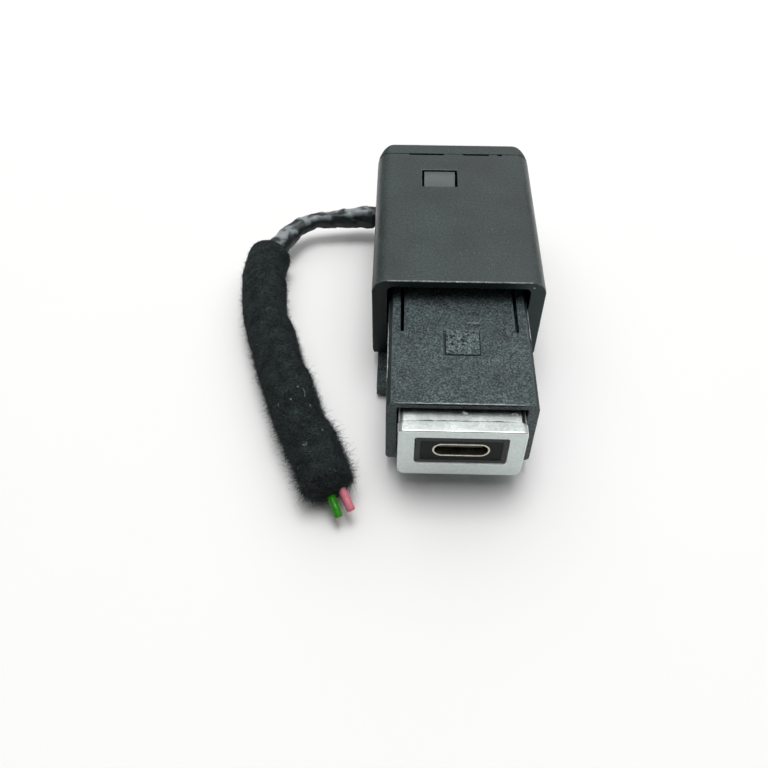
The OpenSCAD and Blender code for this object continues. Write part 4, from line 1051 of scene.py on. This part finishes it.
        # The plate's border is a low rim, and its wall goes down to the recess's floor, where it is closed.
        heights[[0, -1]] = heights[:, [0, -1]] = plastics.pad_height + plastics.pad_relief / 2
        floor = self.pad_floor * MM + self.pad_gap
        top[..., 1] += FACE_Y
        top[..., 2] = floor + heights
        number = np.arange(heights.size).reshape(heights.shape)
        cells = np.stack([number[:-1, :-1], number[1:, :-1], number[1:, 1:], number[:-1, 1:]], axis=-1)
        border = np.concatenate([number[:-1, 0], number[-1, :-1], number[:0:-1, -1], number[0, :0:-1]])
        foot = number.size + np.arange(len(border))
        wall = np.stack([foot, np.roll(foot, -1), np.roll(border, -1), border], axis=-1)
        points = top.reshape(-1, 3)
        points = np.concatenate([points, points[border] * (1, 1, 0) + (0, 0, floor)])
        mesh = bpy.data.meshes.new("thumb_pad_grain")
        faces = [*cells.reshape(-1, 4).tolist(), *wall.tolist(), foot[::-1].tolist()]
        mesh.from_pydata(points.tolist(), [], faces, shade_flat=False)
        mesh.polygons[-1].use_smooth = False
        add_piece("thumb_pad_grain", mesh, [material])


class USB_SOCKET_OT_bezel(bpy.types.Operator):
    """Finish the chrome bezel"""

    bl_idname = "usb_socket.bezel"
    bl_label = "Chrome bezel"

    # How far the upper faces look up, at least. Those that lie more than this below the bezel's top belong
    # to its collar.
    upper_from = 0.7
    plate_slack = 0.06 * MM

    def execute(self, context):
        metals = context.scene.usb_metals
        base = metals.chrome
        # Satin chrome on ABS: a very soft mirror of the floor in front.
        # Drawn 1.15 times lighter than the chrome's colour: painted light where the face mirrors the shadow in
        # front.
        satin = finish("satin chrome on ABS, plated", shaded(base, 1.15), clouds=(6, 0.03), grain=(0.4, 0.006),
                       rough=(0.6, 0.68), shader=METAL, speckle=0.04)
        # The upper side is smoother: it mirrors the room above in a soft band.
        # Drawn at 0.74 of the chrome's colour: painted shade, so that its band stays short of white.
        upper = finish("satin chrome on ABS, upper side", shaded(base, 0.74), clouds=(4, 0.08),
                       grain=(0.5, 0.004), rough=(0.21, 0.27), shader=METAL, speckle=0.06)
        # Edges are polished by handling and draw thin bright lines.
        bright = finish("satin chrome, edge", base, clouds=(3, 0.03), grain=(0.6, 0.0008), rough=(0.1, 0.15),
                        shader=METAL)
        # The collar behind the plate, a step lower, is duller, and darkens towards the body that it mirrors.
        # Drawn at 0.82 of the chrome's colour: painted shade.
        collar = finish("satin chrome on ABS, collar", shaded(base, 0.82), clouds=(2, 0.15),
                        grain=(0.35, 0.012), rough=(0.3, 0.38), shader=METAL)
        plate_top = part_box("bezel")[1].z - self.plate_slack

        def upper_face(face):
            """Which finish a face has: satin, upper side or collar."""
            if face.normal.z < self.upper_from:
                return 0
            return 2 if face.calc_center_median().z > plate_top else 3

        round_edges("bezel", "bezel_shell", metals.bezel_edge, [satin, bright, upper, collar],
                    segments=3, sort_faces=upper_face)
        return {"FINISHED"}


class USB_SOCKET_OT_port(bpy.types.Operator):
    """Finish the port insert and the USB receptacle in it"""

    bl_idname = "usb_socket.port"
    bl_label = "Port"

    # Faces of the insert further back than this belong to the field inside its border.
    border_depth = 0.05 * MM
    # Faces of the shell that look towards its axis from further out than this are inner walls.
    inner_from = 0.1 * MM

    def execute(self, context):
        plastics, metals = context.scene.usb_plastics, context.scene.usb_metals
        base = plastics.insert
        # Matt polycarbonate of the raised border: dark, with a fine even grain.
        matt = finish("polycarbonate, moulded matt", shaded(base, 2.2), clouds=(2.5, 0.15), grain=(0.2, 0.012),
                      rough=(0.45, 0.58), shader={"Specular IOR Level": 0.45}, speckle=0.2)
        # The border's rounded edges are rubbed, and drawn four times paler as a painted highlight.
        rim = finish("polycarbonate, edge", shaded(base, 4), clouds=(1, 0.25), grain=(0.2, 0.004),
                     rough=(0.35, 0.5))
        # The field inside the border is sunk and dull, so that the port's ring stands out.
        field = finish("polycarbonate, moulded dull", shaded(base, 1.4), clouds=(2.5, 0.15), grain=(0.2, 0.02),
                       rough=(0.6, 0.75), shader={"Specular IOR Level": 0.25}, speckle=0.2)
        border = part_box("port_insert")[0].y + self.border_depth
        round_edges("port_insert", "port_insert_shell", plastics.insert_edge, [matt, rim, field],
                    sort_faces=lambda face: 2 if face.calc_center_median().y > border else 0)
        # Nickel-plated steel, deep drawn: warm bright metal, slightly mottled.
        steel = finish("nickel-plated steel, deep drawn", metals.steel, clouds=(1.2, 0.06), grain=(0.25, 0.003),
                       rough=(0.2, 0.34), shader=METAL)
        # The same inside the mouth, duller, and drawn at 0.3 of the steel's colour as painted shade.
        dull = finish("nickel-plated steel, worn dull", shaded(metals.steel, 0.3), clouds=(0.8, 0.2),
                      grain=(0.25, 0.006), rough=(0.4, 0.55), shader=METAL)
        low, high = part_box("receptacle_shell")
        axis = Vector(((low.x + high.x) / 2, 0, (low.z + high.z) / 2))

        def inner_wall(face):
            """Which finish a face has: bright steel, or duller steel with painted shade inside the mouth."""
            out = face.calc_center_median() - axis
            return 2 if out.x * face.normal.x + out.z * face.normal.z < -self.inner_from else 0

        round_edges("receptacle_shell", "receptacle_shell_drawn", metals.shell_edge, [steel, steel, dull],
                    sort_faces=inner_wall)
        paint_nodes(steel, "shield_plate")
        # Liquid crystal polymer: dark grey, low gloss.
        tongue = finish("liquid crystal polymer, moulded", plastics.tongue, clouds=(0.8, 0.15),
                        grain=(0.1, 0.004), rough=(0.42, 0.56), shader={"IOR": 1.6})
        paint_nodes(tongue, "receptacle_base")
        # Gold flash on copper alloy: thin bright bars.
        gold = finish("gold flash on copper alloy", metals.gold, clouds=(0.6, 0.08), grain=(0.1, 0.002),
                      rough=(0.2, 0.32), shader=METAL)
        paint_nodes(gold, "upper_contacts", "lower_contacts")
        return {"FINISHED"}


class USB_SOCKET_OT_board(bpy.types.Operator):
    """Finish the circuit board and what is soldered to it"""

    bl_idname = "usb_socket.board"
    bl_label = "Circuit board"

    def execute(self, context):
        plastics, metals = context.scene.usb_plastics, context.scene.usb_metals
        # Solder mask on glass epoxy: glossy, clouded green.
        mask = finish("solder mask on glass epoxy", metals.mask, clouds=(1.6, 0.25), grain=(0.5, 0.01),
                      rough=(0.22, 0.36), shader={"IOR": 1.56})
        paint_nodes(mask, "circuit_board")
        # Moulded epoxy: dull dark grey, slightly sandy.
        epoxy = finish("epoxy, transfer moulded", plastics.epoxy, clouds=(0.9, 0.12), grain=(0.12, 0.008),
                       rough=(0.5, 0.66), shader={"IOR": 1.56})
        paint_nodes(epoxy, "converter_chip", "port_controller", "chip_resistors")
        # Pressed iron powder: rough dark grey with a faint metal glint.
        iron = finish("iron powder, pressed", metals.iron, clouds=(0.5, 0.25), grain=(0.15, 0.015),
                      rough=(0.5, 0.7), shader={"Metallic": 0.4})
        paint_nodes(iron, "power_inductor")
        # Drawn aluminium: bright, with a fine grain.
        can = finish("aluminium, drawn", metals.can, clouds=(1.5, 0.05), grain=(0.12, 0.003),
                     rough=(0.25, 0.38), shader=METAL)
        paint_nodes(can, "bulk_capacitors")
        # Fired ceramic: tan, matt, mottled.
        ceramic = finish("barium titanate ceramic, fired", metals.ceramic, clouds=(0.4, 0.15),
                         grain=(0.08, 0.005), rough=(0.5, 0.65), shader={"IOR": 1.7})
        paint_nodes(ceramic, "ceramic_capacitors")
        # PBT of the pin header: plain and slightly glossy.
        plain = finish("PBT, moulded plain", plastics.plug, clouds=(2, 0.12), grain=(0.2, 0.005),
                       rough=(0.4, 0.52), shader={"IOR": 1.54})
        paint_nodes(plain, "header_block")
        # Tin plate: pale grey, softly bright.
        tin = finish("tin plate on brass", metals.tin, clouds=(0.8, 0.08), grain=(0.2, 0.004),
                     rough=(0.28, 0.42), shader=METAL)
        paint_nodes(tin, "header_pins")
        return {"FINISHED"}


class USB_SOCKET_OT_harness_plug(bpy.types.Operator):
    """Finish the inner plug, whose snap nub shows in the housing's window, and what it holds"""

    bl_idname = "usb_socket.harness_plug"
    bl_label = "Harness plug"

    def execute(self, context):
        scene = context.scene
        plastics, metals, lead = scene.usb_plastics, scene.usb_metals, scene.usb_lead
        base = plastics.plug
        # Plain PBT: the nub's slope takes a pale, even sheen from above.
        plain = finish("PBT, moulded plain satin", base, clouds=(2.4, 0.14), grain=(0.22, 0.008),
                       rough=(0.42, 0.54), shader={"IOR": 1.54})
        # Its edges are rubbed a little paler where it snaps into the window.
        worn = finish("PBT, nub's rubbed edge", shaded(base, 1.4), clouds=(0.8, 0.2), grain=(0.2, 0.004),
                      rough=(0.34, 0.46), shader={"IOR": 1.54})
        round_edges("harness_plug", "harness_plug_shell", plastics.insert_edge, [plain, worn])
        # Tin plate on the crimped terminals: pale grey, softly bright.
        tin = finish("tin plate, crimped", metals.tin, clouds=(0.8, 0.1), grain=(0.2, 0.006),
                     rough=(0.28, 0.44), shader=METAL)
        paint_nodes(tin, "plug_terminals")
        # PBT of the lock bar: brick red, so that anyone can see whether it is in place.
        red = finish("PBT, moulded brick red", plastics.lock, clouds=(2, 0.12), grain=(0.2, 0.006),
                     rough=(0.42, 0.54), shader={"IOR": 1.54})
        paint_nodes(red, "terminal_lock")
        for node, tint in (("inner_green_wire", lead.green), ("inner_pink_wire", lead.pink)):
            # Extruded PVC, as on the cut ends outside, a little duller.
            skin = finish(f"{node} PVC, extruded", tint, clouds=(1.5, 0.1), grain=(0.3, 0.006),
                          rough=(0.3, 0.42), shader={"IOR": 1.53})
            paint_nodes(skin, node)
        return {"FINISHED"}


class USB_SOCKET_OT_wear_marks(bpy.types.Operator):
    """Put scuffs and grease along edges, also drawn as painted highlight and painted shade, scratches, and
    crumbs of dust on the mouldings
    """

    bl_idname = "usb_socket.wear_marks"
    bl_label = "Wear marks"

    scuff, grime, dust = range(3)
    # A mark's upper side lies this far above its surface and its keel this far below.
    lift = 0.012
    sink = 0.04
    # A strip's points: their distance, and the fewest steps between its tips.
    step, fewest_steps = 0.2, 4
    # A strip's width: the fineness of its unevenness and of a finer part, that part's share, the mean, how
    # far it varies, the least, how fast it grows from the strip's tips, its width there, and the fineness of
    # a wavy strip's waves.
    uneven, finer, finer_share = 0.8, 2.7, 0.6
    mean_width, width_varies, least_width = 0.8, 0.7, 0.3
    tip_growth, tip_width = 6, 0.05
    waves = 1.9
    # A crumb's sides, its reach and its height as shares of its radius, and the radii of specks of fine dust.
    crumb_sides, crumb_reach, crumb_height = 6, (0.5, 1.0), 0.6
    speck_radii = (0.02, 0.06)
    # Each line: kind, start and end, the way across it, the way out of its surface, width and waviness.
    # Places are in millimetres from the middle, from the bezel's face and above the floor.
    lines = (
        # Pale strips along the body's front edge, its ledges and beside the scratch are partly painted
        # highlight; dark strips under the body's front edge, on the bezel's collar and in the scratch are
        # partly painted shade.
        (scuff, (-11.0, 4.0, 16.36), (11.0, 4.0, 16.36), (0, 1, 0), (0, 0, 1), 0.24, 0),
        (grime, (-10.9, 4.0, 16.36), (10.9, 4.0, 16.36), (0, 0, -1), (0, -1, 0), 0.4, 0),
        (scuff, (-11.74, 8.8, 15.25), (-11.74, 22.2, 15.25), (1, 0, 0), (0, 0, 1), 0.17, 0),
        (scuff, (11.74, 18.2, 15.25), (11.74, 25.8, 15.25), (-1, 0, 0), (0, 0, 1), 0.17, 0),
        (grime, (-9.0, 2.02, 14.64), (9.0, 2.02, 14.64), (0, 1, 0), (0, 0, 1), 0.24, 0),
        (grime, (0.9, 20.6, 16.36), (3.7, 20.5, 16.36), (0, 1, 0), (0, 0, 1), 0.4, 0.5),
        (scuff, (1.1, 21.15, 16.36), (3.4, 21.1, 16.36), (0, 1, 0), (0, 0, 1), 0.16, 0.5),
        (grime, (7.58, 13.61, 16.36), (9.13, 15.15, 16.36), (-0.7, 0.7, 0), (0, 0, 1), 0.2, 0.1),
    )
    # Each crumb: place, the way out of its surface, radius.
    crumbs = (((0.29, 3.7, 14.64), (0, 0, 1), 0.4), ((0.7, 3.6, 14.64), (0, 0, 1), 0.25),
              ((7.6, 3.7, 14.64), (0, 0, 1), 0.22), ((8.3, 3.55, 14.64), (0, 0, 1), 0.25),
              ((8.0, 3.8, 14.64), (0, 0, 1), 0.15), ((12.48, 26.9, 19.07), (0, -1, 0), 0.22))
    # Fields of fine dust: lowest and highest x, y and height of the face, and how many specks lie on it.
    fields = ((-9, 9, 28.0, 48.0, 20.16, 60), (-10.5, 10.5, 5.0, 26.0, 16.36, 50))

    def execute(self, context):
        plastics = context.scene.usb_plastics
        rng = np.random.default_rng(SEED + 1)
        self.points, self.faces, self.kinds = [], [], []
        for line in self.lines:
            self.add_line(*line)
        for place, out, radius in self.crumbs:
            self.add_crumb(rng, place, out, radius)
        for low_x, high_x, low_y, high_y, height, count in self.fields:
            for _ in range(count):
                place = (rng.uniform(low_x, high_x), rng.uniform(low_y, high_y), height)
                self.add_crumb(rng, place, (0, 0, 1), rng.uniform(*self.speck_radii))
        mesh = bpy.data.meshes.new("wear_marks")
        mesh.from_pydata(self.points, [], self.faces)
        mesh.polygons.foreach_set("material_index", self.kinds)
        face_outward(mesh)
        # Nylon whitened by rubbing, also drawn as painted highlight on edges; black grease, also drawn as
        # painted shade under edges and in creases; and pale house dust.
        scuff = finish("nylon, scuffed pale", plastics.scuff, clouds=(0.7, 0.5), grain=(0.15, 0.01),
                       rough=(0.4, 0.55), speckle=0.4)
        grime = finish("grease and dust, caked", plastics.grime, clouds=(0.6, 0.3), grain=(0.15, 0.01),
                       rough=(0.7, 0.85))
        dust = finish("house dust", plastics.dust, clouds=(0.3, 0.2), grain=(0.08, 0.005), rough=(0.85, 0.95))
        add_piece("wear_marks", mesh, [scuff, grime, dust])
        return {"FINISHED"}

    def add_point(self, place):
        """Add a point, given in millimetres, and return its number."""
        x, y, z = np.asarray(place) * MM
        self.points.append((x, FACE_Y + y, z))
        return len(self.points) - 1

    def add_faces(self, kind, faces):
        """Add faces of one kind of mark."""
        self.faces += faces
        self.kinds += [kind] * len(faces)

    def add_line(self, kind, start, end, across, out, width, wave):
        """A thin strip of uneven width that starts at a line and lies in the surface beside it."""
        start, end, across, out = (np.asarray(v, float) for v in (start, end, across, out))
        count = max(self.fewest_steps, round(np.linalg.norm(end - start) / self.step))
        last = None
        for t in np.linspace(0, 1, count + 1):
            on = start + (end - start) * t
            rough = noise.noise(Vector(on * self.uneven))
            rough += self.finer_share * noise.noise(Vector(on * self.finer))
            uneven = min(1.0, max(self.least_width, self.mean_width + self.width_varies * rough))
            fade = min(1.0, self.tip_growth * min(t, 1 - t))
            wide = width * max(self.tip_width, uneven * fade)
            on = on + across * wave * noise.noise(Vector(on * self.waves)) + out * self.lift
            keel = on + across * wide / 2 - out * (self.lift + self.sink)
            ring = [self.add_point(place) for place in (on, on + across * wide, keel)]
            if last:
                self.add_faces(kind, [(last[i], ring[i], ring[i - 2], last[i - 2]) for i in range(3)])
            else:
                self.add_faces(kind, [ring])
            last = ring
        self.add_faces(kind, [last])

    def add_crumb(self, rng, place, out, radius):
        """A low, ragged cone that stands on a surface."""
        place, out = np.asarray(place, float), np.asarray(out, float)
        side = np.array((1.0, 0, 0))
        over = np.cross(out, side)
        angles = np.linspace(0, 2 * np.pi, self.crumb_sides, endpoint=False) + rng.uniform(0, 1)
        foot = [self.add_point(place + radius * rng.uniform(*self.crumb_reach)
                               * (side * np.cos(a) + over * np.sin(a))) for a in angles]
        top = self.add_point(place + out * radius * self.crumb_height)
        self.add_faces(self.dust, [foot, *((a, b, top) for a, b in zip(foot, foot[1:] + foot[:1]))])


class USB_SOCKET_PT_panel(bpy.types.Panel):
    """Lists the operators in the 3D view's sidebar"""

    bl_idname = "USB_SOCKET_PT_panel"
    bl_label = "USB socket"
    bl_space_type = "VIEW_3D"
    bl_region_type = "UI"
    bl_category = "USB socket"

    def draw(self, context):
        for operator in OPERATORS:
            self.layout.operator(operator.bl_idname)


OPERATORS = (
    USB_SOCKET_OT_stage,
    USB_SOCKET_OT_fleece_sleeve,
    USB_SOCKET_OT_wire_tails,
    USB_SOCKET_OT_taped_lead,
    USB_SOCKET_OT_wire_housing,
    USB_SOCKET_OT_socket_body,
    USB_SOCKET_OT_bezel,
    USB_SOCKET_OT_port,
    USB_SOCKET_OT_board,
    USB_SOCKET_OT_harness_plug,
    USB_SOCKET_OT_wear_marks,
)
SETTINGS = {
    "usb_stage": StageSettings,
    "usb_plastics": PlasticSettings,
    "usb_metals": MetalSettings,
    "usb_lead": LeadSettings,
}


def register():
    for group in SETTINGS.values():
        bpy.utils.register_class(group)
    for name, group in SETTINGS.items():
        setattr(bpy.types.Scene, name, PointerProperty(type=group))
    for operator in (*OPERATORS, USB_SOCKET_PT_panel):
        bpy.utils.register_class(operator)


def unregister():
    for operator in (USB_SOCKET_PT_panel, *reversed(OPERATORS)):
        bpy.utils.unregister_class(operator)
    for name, group in SETTINGS.items():
        delattr(bpy.types.Scene, name)
        bpy.utils.unregister_class(group)


def main():
    register()
    bpy.ops.usb_socket.stage()
    bpy.ops.usb_socket.fleece_sleeve()
    bpy.ops.usb_socket.wire_tails()
    bpy.ops.usb_socket.taped_lead()
    bpy.ops.usb_socket.wire_housing()
    bpy.ops.usb_socket.socket_body()
    bpy.ops.usb_socket.bezel()
    bpy.ops.usb_socket.port()
    bpy.ops.usb_socket.board()
    bpy.ops.usb_socket.harness_plug()
    bpy.ops.usb_socket.wear_marks()


if __name__ == "__main__":
    main()
